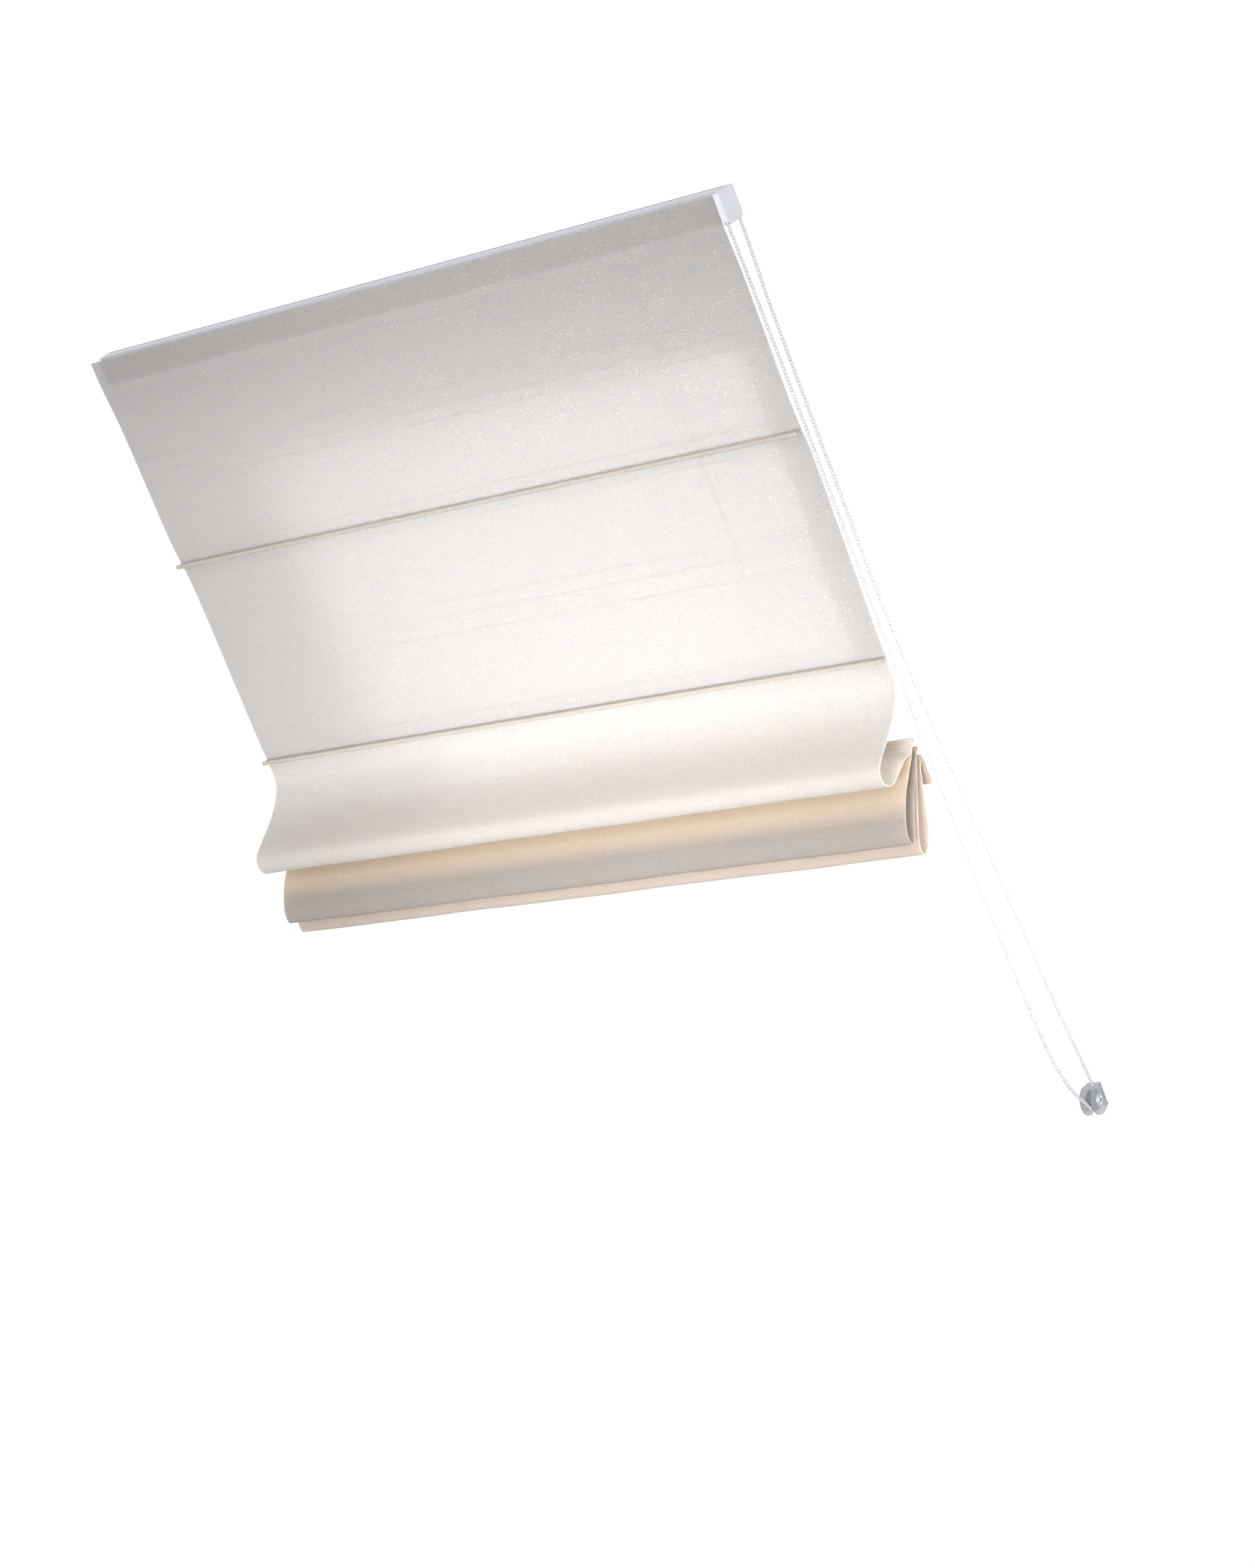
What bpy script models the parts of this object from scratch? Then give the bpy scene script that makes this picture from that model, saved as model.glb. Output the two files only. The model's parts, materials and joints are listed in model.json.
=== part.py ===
"""Skylight Roman blind: a fabric blind on thin rods under a sloping ceiling, worked by a bead chain.

The part is drawn in a slope frame: x runs along the headrail, y down the roof slope, and z = 0 is the
ceiling surface, with the room at negative z. An empty tilts this frame by the roof pitch, so that in the
world +Z is up and gravity acts down. The origin is on the ceiling face of the middle clip.
All sizes are in metres.
"""
import math

import bmesh
import bpy
from mathutils import Matrix, Vector

# Roof, fabric and clearances
ROOF_PITCH = math.radians(50.75)
FABRIC_WIDTH = 1.000
FABRIC_THICKNESS = 0.0008
TOUCH_GAP = 0.0003
RUNNING_GAP = 0.0004

# Headrail, tapes and ceiling clips
RAIL_LEFT_INSET = 0.017
RAIL_RIGHT_OVERHANG = 0.0055
RAIL_HEIGHT = 0.036
RAIL_BACK = 0.002
RAIL_DEPTH = 0.0235
RAIL_WALL = 0.0014
RAIL_LIP = 0.0075
TAPE_MARGIN = 0.003
TAPE_THICKNESS = 0.0008
CLIP_LENGTH = 0.040
CLIP_PLATE_HEIGHT = 0.032
CLIP_PLATE_THICKNESS = 0.0017
CLIP_PLATE_EDGE = 0.0012
CLIP_BAR_THICKNESS = 0.0018
CLIP_BAR_OVERHANG = 0.003
CLIP_HOLE_RADIUS = 0.0022
CLIP_HOLE_SPACING = 0.024
CLIP_INSET = 0.070

# Chain drive
BEAD_PITCH = 0.00436
BEAD_DIAMETER = 0.0032
SPROCKET_POCKETS = 20
POCKET_DEPTH = 0.0012
WHEEL_LIP = 0.0008
WHEEL_FLANGE = 0.0009
SHAFT_ACROSS_FLATS = 0.006
SHAFT_Y = 0.0015
HOUSING_WIDTH = 0.0075
HOUSING_WALL = 0.0010
HOUSING_ROOM_DEEP = 0.0011
HOUSING_ROOM_ALONG = 0.0030
HOUSING_CORNER = 0.0065
HOUSING_MOUTH_ROOM = 0.0010
COVER_THICKNESS = 0.0010
END_CAP_THICKNESS = 0.0025
END_CAP_PLUG = 0.012
END_CAP_BEARING = 0.010

# Cord spools and their cradles
CORD_DIAMETER = 0.0012
CORD_INSET = 0.150
SPOOL_RADIUS = 0.0040
SPOOL_FLANGE_RADIUS = 0.0048
SPOOL_FLANGE = 0.0015
SPOOL_LENGTH = 0.036
CRADLE_WALL = 0.0020
CORD_HOLE_RADIUS = 0.0024

# Rods with their pockets, rings and hem
ROD_DIAMETER = 0.004
ROD_END_MARGIN = 0.005
ROD_1_RUN = 0.2937
ROD_2_RUN = 0.2963
ROD_3_RUN = 0.1063
STACK_RUN = 0.0125
OPEN_ROD_OFFSET = 0.0051
STACK_ROD_OFFSET = 0.0050
STACK_ROD_STEP = 0.0025
POCKET_WALL = 0.0006
POCKET_LEGS = 0.0024
POCKET_LENGTH = 0.0101
RING_RADIUS = 0.0034
RING_WIRE = 0.0009
STOP_RADIUS = 0.0026
HEM_LENGTH = 0.034
HEM_THICKNESS = 0.0042
HEM_OFFSET = 0.0022
HEM_BAR_THICKNESS = 0.002
HEM_BAR_END_MARGIN = 0.010

# Tensioner on the ceiling
TENSIONER_OFFSET = 0.054
TENSIONER_Y = 1.2010
TENSIONER_WIDTH = 0.0175
TENSIONER_LENGTH = 0.032
TENSIONER_BASE = 0.0014
TENSIONER_CHEEK = 0.002
TENSIONER_ROOM = 0.0010
TENSIONER_LIP = 0.0044
TENSIONER_HOLE_RADIUS = 0.0022
TENSIONER_HOLE_SPACING = 0.020
PULLEY_POCKETS = 18
PULLEY_HUB_RADIUS = 0.005
HUB_PHASE = 4
AXLE_RADIUS = 0.002
AXLE_HEAD_RADIUS = 0.0055
AXLE_HEAD_EDGE = 0.0012
AXLE_HEAD_DOME = 0.0012
AXLE_SLOT_REACH = 0.0038
AXLE_SLOT_WIDTH = 0.0012
AXLE_SLOT_DEPTH = 0.0014

# Open panels: points between the two ends of the cloth as (distance down the slope from the end above
# where positive, or from the end below where negative, rise towards the window)
PANEL_1_RISE = ((0.063, 0.0035), (0.130, 0.0035), (-0.040, -0.0022))
PANEL_2_RISE = ((0.018, 0.0024), (0.060, 0.0030), (0.140, 0.0018), (-0.020, -0.0008))

# Hanging folds: points from the foot of the pocket above as (distance forward into the room, drop)
FOLD_3 = (
    (-0.0195, 0.030), (-0.0180, 0.062), (-0.0075, 0.093), (0.0095, 0.132), (0.0085, 0.148),
    (-0.0040, 0.1565), (-0.0190, 0.152), (-0.0310, 0.135), (-0.0450, 0.115),
)
FOLD_4_FRONT = ((0.0040, 0.020), (0.0135, 0.062), (0.0110, 0.100), (0.0000, 0.1165))
FOLD_4_BACK = ((0.0000, 0.100), (0.0035, 0.060), (0.0005, 0.020))
FOLD_5_FRONT = ((-0.0015, 0.030), (-0.0040, 0.070), (-0.0085, 0.104), (-0.0190, 0.116), (-0.0285, 0.104))
FOLD_5_BACK = ((-0.0180, 0.070), (-0.0060, 0.025))

# The chain's strands: points as (distance down the slope from the shaft, distance from the ceiling)
FRONT_STRAND = (
    (0.0, 0.0329), (0.040, 0.0338), (0.115, 0.0363), (0.230, 0.0410), (0.340, 0.0470), (0.460, 0.0525),
    (0.580, 0.0580), (0.700, 0.0640), (0.820, 0.0690), (0.920, 0.0712), (1.000, 0.0718), (1.060, 0.0710),
    (1.100, 0.0688), (1.135, 0.0625), (1.160, 0.0545), (1.180, 0.0440), (1.193, 0.0345),
)
BACK_STRAND = (
    (1.180, 0.0060), (1.140, 0.0085), (1.080, 0.0130), (0.980, 0.0174), (0.870, 0.0225), (0.770, 0.0275),
    (0.670, 0.0318), (0.570, 0.0338), (0.470, 0.0335), (0.350, 0.0280), (0.235, 0.0220), (0.125, 0.0150),
    (0.060, 0.0085), (0.025, 0.0056),
)
CHAIN_STRAIGHT = 0.020

ROUND = 32
SMALL_ROUND = 16
WELD = 0.000001

# Places that follow from the sizes above
HALF_WIDTH = FABRIC_WIDTH / 2
RAIL_X0 = -HALF_WIDTH + RAIL_LEFT_INSET
RAIL_X1 = HALF_WIDTH + RAIL_RIGHT_OVERHANG
RAIL_EDGE = RAIL_HEIGHT / 2
RAIL_FRONT = RAIL_BACK + RAIL_DEPTH
FABRIC_TOP = -RAIL_EDGE + TAPE_MARGIN
FABRIC_BACK = RAIL_FRONT + 2 * TAPE_THICKNESS + 3 * TOUCH_GAP
INSIDE_EDGE = RAIL_EDGE - RAIL_WALL - TOUCH_GAP
INSIDE_FRONT = RAIL_FRONT - RAIL_WALL - TOUCH_GAP
INSIDE_BACK = RAIL_BACK + RAIL_WALL + TOUCH_GAP
SPROCKET_RADIUS = SPROCKET_POCKETS * BEAD_PITCH / (2 * math.pi)
PULLEY_RADIUS = PULLEY_POCKETS * BEAD_PITCH / (2 * math.pi)
SHAFT_Z = SPOOL_FLANGE_RADIUS - INSIDE_FRONT
SHAFT_CORNER = SHAFT_ACROSS_FLATS / math.sqrt(3)
BORE_RADIUS = SHAFT_CORNER + RUNNING_GAP
SHAFT_X0 = RAIL_X0 + END_CAP_PLUG - END_CAP_BEARING + TOUCH_GAP
HOUSING_X0 = RAIL_X1 + TOUCH_GAP
HOUSING_X1 = HOUSING_X0 + HOUSING_WIDTH
SPROCKET_X = (HOUSING_X0 + HOUSING_WALL + HOUSING_X1) / 2
CORD_X = HALF_WIDTH - CORD_INSET
CORD_Z = SHAFT_Z + SPOOL_RADIUS + CORD_DIAMETER / 2 + TOUCH_GAP
POCKET_RADIUS = ROD_DIAMETER / 2 + TOUCH_GAP + POCKET_WALL
TENSIONER_X = HALF_WIDTH + TENSIONER_OFFSET
PULLEY_Z = -(TENSIONER_BASE + TENSIONER_ROOM + PULLEY_RADIUS + BEAD_DIAMETER / 2)

# Directions in the slope frame's (y, z) plane
GRAVITY = Vector((math.sin(ROOF_PITCH), -math.cos(ROOF_PITCH)))
FORWARD = Vector((-math.cos(ROOF_PITCH), -math.sin(ROOF_PITCH)))
DOWN_SLOPE = Vector((1, 0))
TO_ROOM = Vector((0, -1))

# An outline's two axes and its extrusion, turned to the object's y, z and x
OUTLINE_TO_X = Matrix(((0, 0, 1, 0), (1, 0, 0, 0), (0, 1, 0, 0), (0, 0, 0, 1)))

# Looks: base colour, roughness, metallic and alpha
LOOKS = {
    "fabric": ((0.80, 0.77, 0.72), 0.90, 0.0, 1.0),
    "white_metal": ((0.86, 0.87, 0.90), 0.35, 0.2, 1.0),
    "white_plastic": ((0.84, 0.86, 0.90), 0.40, 0.0, 1.0),
    "tape": ((0.82, 0.81, 0.80), 0.95, 0.0, 1.0),
    "clear_plastic": ((0.82, 0.84, 0.87), 0.15, 0.0, 0.5),
    "bead_plastic": ((0.86, 0.87, 0.89), 0.20, 0.0, 1.0),
    "fibreglass": ((0.88, 0.88, 0.86), 0.45, 0.0, 1.0),
    "aluminium": ((0.75, 0.76, 0.78), 0.35, 1.0, 1.0),
    "steel": ((0.60, 0.60, 0.62), 0.30, 1.0, 1.0),
    "chrome": ((0.80, 0.81, 0.83), 0.10, 1.0, 1.0),
    "cord": ((0.88, 0.87, 0.85), 0.80, 0.0, 1.0),
}
SMOOTH_ANGLE = math.radians(40)


def clear_scene():
    for thing in list(bpy.data.objects):
        bpy.data.objects.remove(thing, do_unlink=True)


def make_collection(name):
    collection = bpy.data.collections.new(name)
    bpy.context.scene.collection.children.link(collection)
    return collection


def make_material(name):
    colour, roughness, metallic, alpha = LOOKS[name]
    material = bpy.data.materials.new(name)
    material.use_nodes = True
    shader = material.node_tree.nodes["Principled BSDF"]
    shader.inputs["Base Color"].default_value = (*colour, 1.0)
    shader.inputs["Roughness"].default_value = roughness
    shader.inputs["Metallic"].default_value = metallic
    shader.inputs["Alpha"].default_value = alpha
    material.diffuse_color = (*colour, alpha)
    return material


def make_empty(name, parent, location, tilt=0.0):
    empty = bpy.data.objects.new(name, None)
    empty.empty_display_size = 0.03
    empty.parent = parent
    empty.location = location
    empty.rotation_euler.x = tilt
    BLIND.objects.link(empty)
    return empty


def shade(mesh):
    mesh.shade_smooth()
    mesh.set_sharp_from_angle(angle=SMOOTH_ANGLE)


def place(name, mesh, look, parent, location=(0, 0, 0)):
    """Make the named object of a mesh, with its material, under its parent."""
    thing = bpy.data.objects.new(name, mesh)
    BLIND.objects.link(thing)
    thing.parent = parent
    thing.location = location
    shade(mesh)
    if not mesh.materials:
        mesh.materials.append(MATERIALS[look])
    return thing


def combine(target, mesh, operation):
    """Cut a mesh out of an object or join it on, with a hidden tool that stays under the same parent."""
    tool = bpy.data.objects.new(target.name + "_tool", mesh)
    CUTTERS.objects.link(tool)
    tool.parent = target.parent
    tool.location = target.location
    tool.hide_render = True
    tool.display_type = "WIRE"
    shade(mesh)
    step = target.modifiers.new(operation.lower(), "BOOLEAN")
    step.operation = operation
    step.solver = "EXACT"
    step.object = tool


def cut(target, mesh):
    combine(target, mesh, "DIFFERENCE")


def join(target, mesh):
    combine(target, mesh, "UNION")


def mesh_from(bm, name):
    mesh = bpy.data.meshes.new(name)
    bm.to_mesh(mesh)
    bm.free()
    return mesh


def arc(centre, radius, start, end, steps):
    """Points on an arc in the (y, z) plane; angles in degrees, from +y towards +z."""
    points = []
    for i in range(steps + 1):
        angle = math.radians(start + (end - start) * i / steps)
        points.append((centre[0] + radius * math.cos(angle), centre[1] + radius * math.sin(angle)))
    return points


def circle(radius, steps, phase=0):
    return arc((0, 0), radius, phase, phase + 360, steps)[:-1]


def rectangle(y0, y1, z0, z1):
    return [(y0, z0), (y1, z0), (y1, z1), (y0, z1)]


def extrusion_mesh(name, outline, x0, x1):
    """A closed mesh: an outline in the (y, z) plane run along x from x0 to x1."""
    curve = bpy.data.curves.new(name, "CURVE")
    curve.dimensions = "2D"
    curve.fill_mode = "BOTH"
    curve.extrude = (x1 - x0) / 2
    spline = curve.splines.new("POLY")
    spline.points.add(len(outline) - 1)
    spline.use_cyclic_u = True
    for point, (y, z) in zip(spline.points, outline):
        point.co = (y, z, 0, 1)
    drawing = bpy.data.objects.new(name, curve)
    bpy.context.scene.collection.objects.link(drawing)
    drawn = drawing.evaluated_get(bpy.context.evaluated_depsgraph_get())
    mesh = bpy.data.meshes.new_from_object(drawn)
    bpy.data.objects.remove(drawing)
    bpy.data.curves.remove(curve)
    bm = bmesh.new()
    bm.from_mesh(mesh)
    bmesh.ops.remove_doubles(bm, verts=bm.verts, dist=WELD)
    bmesh.ops.transform(bm, matrix=OUTLINE_TO_X, verts=bm.verts)
    bmesh.ops.translate(bm, vec=((x0 + x1) / 2, 0, 0), verts=bm.verts)
    bmesh.ops.recalc_face_normals(bm, faces=bm.faces)
    bm.to_mesh(mesh)
    bm.free()
    return mesh


def extrusion(name, outline, x0, x1, look, parent):
    return place(name, extrusion_mesh(name, outline, x0, x1), look, parent)


def box_mesh(name, x0, x1, y0, y1, z0, z1):
    bm = bmesh.new()
    bmesh.ops.create_cube(bm, size=1)
    bmesh.ops.scale(bm, vec=(x1 - x0, y1 - y0, z1 - z0), verts=bm.verts)
    bmesh.ops.translate(bm, vec=((x0 + x1) / 2, (y0 + y1) / 2, (z0 + z1) / 2), verts=bm.verts)
    return mesh_from(bm, name)


def cylinder_mesh(name, radius, centre, length, axis):
    """A cylinder of a length about its centre, along the named axis."""
    bm = bmesh.new()
    bmesh.ops.create_cone(
        bm, cap_ends=True, segments=SMALL_ROUND, radius1=radius, radius2=radius, depth=length
    )
    if axis == "x":
        bmesh.ops.rotate(bm, matrix=Matrix.Rotation(math.pi / 2, 3, "Y"), verts=bm.verts)
    if axis == "y":
        bmesh.ops.rotate(bm, matrix=Matrix.Rotation(math.pi / 2, 3, "X"), verts=bm.verts)
    bmesh.ops.translate(bm, vec=centre, verts=bm.verts)
    return mesh_from(bm, name)


def turned(name, profile, look, parent):
    """A solid turned about the x axis, from (x, radius) points that start and end on the axis."""
    bm = bmesh.new()
    verts = [bm.verts.new((x, radius, 0)) for x, radius in profile]
    for pair in zip(verts, verts[1:]):
        bm.edges.new(pair)
    thing = place(name, mesh_from(bm, name), look, parent)
    turn = thing.modifiers.new("turn", "SCREW")
    turn.axis = "X"
    turn.steps = SMALL_ROUND
    turn.render_steps = SMALL_ROUND
    turn.use_merge_vertices = True
    turn.merge_threshold = WELD
    turn.use_normal_calculate = True
    return thing


def tube(name, points, diameter, look, cyclic=False):
    """A round cord or chain through points in the slope frame."""
    curve = bpy.data.curves.new(name, "CURVE")
    curve.dimensions = "3D"
    curve.bevel_depth = diameter / 2
    curve.bevel_resolution = 2
    curve.use_fill_caps = not cyclic
    spline = curve.splines.new("POLY")
    spline.points.add(len(points) - 1)
    spline.use_cyclic_u = cyclic
    for point, position in zip(spline.points, points):
        point.co = (*position, 1)
    curve.materials.append(MATERIALS[look])
    thing = bpy.data.objects.new(name, curve)
    BLIND.objects.link(thing)
    thing.parent = SLOPE
    return thing


def smooth_path(points, steps):
    """Points on a Catmull-Rom curve through the given ones, with so many steps between each two."""
    knots = [Vector(point) for point in points]
    knots = [knots[0] * 2 - knots[1]] + knots + [knots[-1] * 2 - knots[-2]]
    path = []
    for i in range(1, len(knots) - 2):
        a, b, c, d = knots[i - 1 : i + 3]
        for k in range(steps):
            t = k / steps
            slope = (c - a) * t
            bend = (2 * a - 5 * b + 4 * c - d) * t**2
            turn = (3 * b - a - 3 * c + d) * t**3
            path.append((2 * b + slope + bend + turn) / 2)
    path.append(knots[-2])
    return path


# The headrail and what holds it


def make_headrail():
    back, front = -RAIL_BACK, -RAIL_FRONT
    lip = RAIL_EDGE - RAIL_LIP
    inner = RAIL_EDGE - RAIL_WALL
    outline = [
        (-lip, back),
        (-RAIL_EDGE, back),
        (-RAIL_EDGE, front),
        (RAIL_EDGE, front),
        (RAIL_EDGE, back),
        (lip, back),
        (lip, back - RAIL_WALL),
        (inner, back - RAIL_WALL),
        (inner, front + RAIL_WALL),
        (-inner, front + RAIL_WALL),
        (-inner, back - RAIL_WALL),
        (-lip, back - RAIL_WALL),
    ]
    rail = extrusion("headrail", outline, RAIL_X0, RAIL_X1, "white_metal", SLOPE)
    for x in (-CORD_X, CORD_X):
        centre = (x, RAIL_EDGE - RAIL_WALL / 2, CORD_Z)
        cut(rail, cylinder_mesh("cord_hole", CORD_HOLE_RADIUS, centre, 3 * RAIL_WALL, "y"))


def make_clip(side, x):
    """A ceiling plate with a neck through the rail's slot and a bar behind its lips."""
    plate = CLIP_PLATE_HEIGHT / 2
    neck = RAIL_EDGE - RAIL_LIP - TOUCH_GAP
    bar = neck + CLIP_BAR_OVERHANG
    depth = INSIDE_BACK + CLIP_BAR_THICKNESS
    outline = [
        (-plate, 0),
        (-plate, -CLIP_PLATE_EDGE),
        (-neck, -CLIP_PLATE_THICKNESS),
        (-neck, -INSIDE_BACK),
        (-bar, -INSIDE_BACK),
        (-bar, -depth),
        (bar, -depth),
        (bar, -INSIDE_BACK),
        (neck, -INSIDE_BACK),
        (neck, -CLIP_PLATE_THICKNESS),
        (plate, -CLIP_PLATE_EDGE),
        (plate, 0),
    ]
    half = CLIP_LENGTH / 2
    clip = extrusion("ceiling_clip_" + side, outline, x - half, x + half, "white_plastic", SLOPE)
    for end in (-1, 1):
        centre = (x + end * CLIP_HOLE_SPACING / 2, 0, -depth / 2)
        cut(clip, cylinder_mesh("screw_hole", CLIP_HOLE_RADIUS, centre, 2 * depth, "z"))


def make_tape(name, back):
    """A strip of hook-and-loop tape between the rail's front and the fabric."""
    x0 = RAIL_X0 + TAPE_MARGIN
    x1 = HALF_WIDTH - TAPE_MARGIN
    edge = RAIL_EDGE - TAPE_MARGIN
    place(name, box_mesh(name, x0, x1, -edge, edge, -back - TAPE_THICKNESS, -back), "tape", SLOPE)


def make_end_cap():
    """The left cap: a flat plate, and a plug with the shaft's bearing in it."""
    x1 = RAIL_X0 - TOUCH_GAP
    x0 = x1 - END_CAP_THICKNESS
    plug_end = RAIL_X0 + END_CAP_PLUG
    plate = rectangle(-RAIL_EDGE, RAIL_EDGE, -RAIL_FRONT, -RAIL_BACK)
    plug = rectangle(-INSIDE_EDGE, INSIDE_EDGE, -INSIDE_FRONT, -INSIDE_BACK)
    cap = extrusion("end_cap_left", plate, x0, x1, "white_plastic", SLOPE)
    join(cap, extrusion_mesh("plug", plug, x1 - END_CAP_THICKNESS / 2, plug_end))
    cut(cap, cylinder_mesh("bearing", BORE_RADIUS, (plug_end, SHAFT_Y, SHAFT_Z), 2 * END_CAP_BEARING, "x"))


# The chain drive


def housing_outline(inset):
    """The drive housing's outline about the shaft, square at the rail's upper edge."""
    reach = SPROCKET_RADIUS + BEAD_DIAMETER / 2 + HOUSING_WALL - inset
    along = reach + HOUSING_ROOM_ALONG
    deep = reach + HOUSING_ROOM_DEEP
    corner = HOUSING_CORNER - inset
    upper = (-along, deep), (-along, -deep)
    front = arc((along - corner, corner - deep), corner, 270, 360, 6)
    back = arc((along - corner, deep - corner), corner, 0, 90, 6)
    return [*upper, *front, *back]


def make_drive_housing():
    housing = extrusion("drive_housing", housing_outline(0), HOUSING_X0, HOUSING_X1, "white_plastic", DRIVE)
    inside = HOUSING_X0 + HOUSING_WALL
    open_side = HOUSING_X1 + TOUCH_GAP
    cut(housing, extrusion_mesh("cavity", housing_outline(HOUSING_WALL), inside, open_side))
    cut(housing, cylinder_mesh("shaft_hole", BORE_RADIUS, (inside, 0, 0), 4 * HOUSING_WALL, "x"))
    half = BEAD_DIAMETER / 2 + HOUSING_MOUTH_ROOM
    end = SPROCKET_RADIUS + HOUSING_ROOM_ALONG + HOUSING_CORNER
    for middle in (-SPROCKET_RADIUS, SPROCKET_RADIUS):
        mouth = rectangle(SPROCKET_RADIUS / 2, end, middle - half, middle + half)
        cut(housing, extrusion_mesh("mouth", mouth, inside + TOUCH_GAP, open_side))
    cover = HOUSING_X1 + TOUCH_GAP
    extrusion("drive_cover", housing_outline(0), cover, cover + COVER_THICKNESS, "white_plastic", DRIVE)


def pocketed_outline(radius, pockets):
    """A chain wheel's core: a rounded pocket for each bead, with a land before the next."""
    points = []
    for i in range(pockets):
        for share, depth in ((0.0, 1.0), (0.22, 0.7), (0.38, 0.0), (0.62, 0.0), (0.78, 0.7)):
            angle = 2 * math.pi * (i + share) / pockets
            reach = radius - POCKET_DEPTH * depth
            points.append((reach * math.cos(angle), reach * math.sin(angle)))
    return points


def make_chain_wheel(name, radius, pockets, x, look, parent):
    """A pocketed core between two flanges, in one piece, still without its bore."""
    half = BEAD_DIAMETER / 2 + TOUCH_GAP
    core = pocketed_outline(radius - BEAD_DIAMETER / 2 - TOUCH_GAP, pockets)
    wheel = extrusion(name, core, x - half, x + half, look, parent)
    rim = circle(radius + WHEEL_LIP, ROUND)
    sink = WHEEL_FLANGE / 4
    join(wheel, extrusion_mesh("flange", rim, x - half - WHEEL_FLANGE, x - half + sink))
    join(wheel, extrusion_mesh("flange", rim, x + half - sink, x + half + WHEEL_FLANGE))
    return wheel


def make_drive_train():
    shaft_end = HOUSING_X1 - TOUCH_GAP
    bore = circle(SHAFT_CORNER + TOUCH_GAP, 6)
    extrusion("drive_shaft", circle(SHAFT_CORNER, 6), SHAFT_X0, shaft_end, "steel", DRIVE)
    sprocket = make_chain_wheel(
        "drive_sprocket", SPROCKET_RADIUS, SPROCKET_POCKETS, SPROCKET_X, "white_plastic", DRIVE
    )
    cut(sprocket, extrusion_mesh("bore", bore, HOUSING_X0, HOUSING_X1 + COVER_THICKNESS))
    for side, x in SIDES:
        make_spool(side, x, bore)
        make_cradle(side, x)


def make_spool(side, x, bore):
    half = SPOOL_LENGTH / 2
    end = half + SPOOL_FLANGE
    profile = [
        (x - end, 0),
        (x - end, SPOOL_FLANGE_RADIUS),
        (x - half, SPOOL_FLANGE_RADIUS),
        (x - half, SPOOL_RADIUS),
        (x + half, SPOOL_RADIUS),
        (x + half, SPOOL_FLANGE_RADIUS),
        (x + end, SPOOL_FLANGE_RADIUS),
        (x + end, 0),
    ]
    spool = turned("cord_spool_" + side, profile, "white_plastic", DRIVE)
    cut(spool, extrusion_mesh("bore", bore, x - end - SPOOL_FLANGE, x + end + SPOOL_FLANGE))


def make_cradle(side, x):
    """Two bearing walls for the shaft, tied together at the rail's open side, round the spool."""
    inside = SPOOL_LENGTH / 2 + SPOOL_FLANGE + RUNNING_GAP
    outside = inside + CRADLE_WALL
    block = rectangle(-INSIDE_EDGE, INSIDE_EDGE, -INSIDE_FRONT, -INSIDE_BACK)
    cradle = extrusion("cord_cradle_" + side, block, x - outside, x + outside, "white_plastic", SLOPE)
    room = rectangle(-RAIL_EDGE, RAIL_EDGE, -RAIL_FRONT, -INSIDE_BACK - CRADLE_WALL)
    cut(cradle, extrusion_mesh("room", room, x - inside, x + inside))
    cut(cradle, cylinder_mesh("bore", BORE_RADIUS, (x, SHAFT_Y, SHAFT_Z), 2 * outside + CRADLE_WALL, "x"))


# Rods, the cloth's pockets round them, and the cord's rings


def below_fabric(y, offset):
    """A point in the (y, z) plane, offset towards the room from the fabric's back."""
    return Vector((y, -FABRIC_BACK - offset))


def rod_centre(number):
    runs = (ROD_1_RUN, ROD_2_RUN, ROD_3_RUN, STACK_RUN, STACK_RUN)
    offset = OPEN_ROD_OFFSET
    if number > OPEN_RODS:
        offset = STACK_ROD_OFFSET - STACK_ROD_STEP * (number - OPEN_RODS - 1)
    return below_fabric(FABRIC_TOP + sum(runs[:number]), offset)


def pocket_up(number):
    """From a pocket's stitched foot to its rod: into the room on an open panel, upwards in the stack."""
    return TO_ROOM if number <= OPEN_RODS else -GRAVITY


def pocket_foot(number):
    return rod_centre(number) - pocket_up(number) * POCKET_LENGTH


def pocket_outline(number):
    """A tuck about its rod's centre: two legs side by side, opening into a sleeve."""
    up = pocket_up(number)
    side = Vector((-up.y, up.x))
    half = POCKET_LEGS / 2
    meet = math.degrees(math.asin(half / POCKET_RADIUS))
    sleeve = [side * y + up * z for y, z in arc((0, 0), POCKET_RADIUS, 270 - meet, meet - 90, 14)]
    foot = up * -POCKET_LENGTH
    return [foot - side * half, *sleeve, foot + side * half]


def ring_offset(number):
    """From a rod's centre to its rings, which hang on the window side of the pocket, a touch away."""
    reach = RING_RADIUS + RING_WIRE + TOUCH_GAP
    reach += POCKET_LENGTH if number <= OPEN_RODS else POCKET_RADIUS
    return TO_ROOM * -reach


def ring_mesh():
    bpy.ops.mesh.primitive_torus_add(
        major_radius=RING_RADIUS, minor_radius=RING_WIRE, major_segments=SMALL_ROUND, minor_segments=8
    )
    ring = bpy.context.object
    mesh = ring.data
    bpy.data.objects.remove(ring)
    mesh.transform(Matrix.Rotation(math.pi / 2, 4, "X"))
    return mesh


def make_rods():
    end = HALF_WIDTH - ROD_END_MARGIN
    beyond = HALF_WIDTH + RUNNING_GAP
    ring = ring_mesh()
    for number in range(1, ROD_COUNT + 1):
        carrier = make_empty(f"rod_{number}_axis", SLOPE, (0, *rod_centre(number)))
        extrusion(f"rod_{number}", circle(ROD_DIAMETER / 2, SMALL_ROUND), -end, end, "fibreglass", carrier)
        pocket = extrusion(
            f"rod_pocket_{number}", pocket_outline(number), -HALF_WIDTH, HALF_WIDTH, "fabric", carrier
        )
        bore = circle(ROD_DIAMETER / 2 + TOUCH_GAP, SMALL_ROUND)
        cut(pocket, extrusion_mesh("sleeve", bore, -beyond, beyond))
        for side, x in SIDES:
            place(f"cord_ring_{number}_{side}", ring, "clear_plastic", carrier, (x, *ring_offset(number)))


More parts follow.
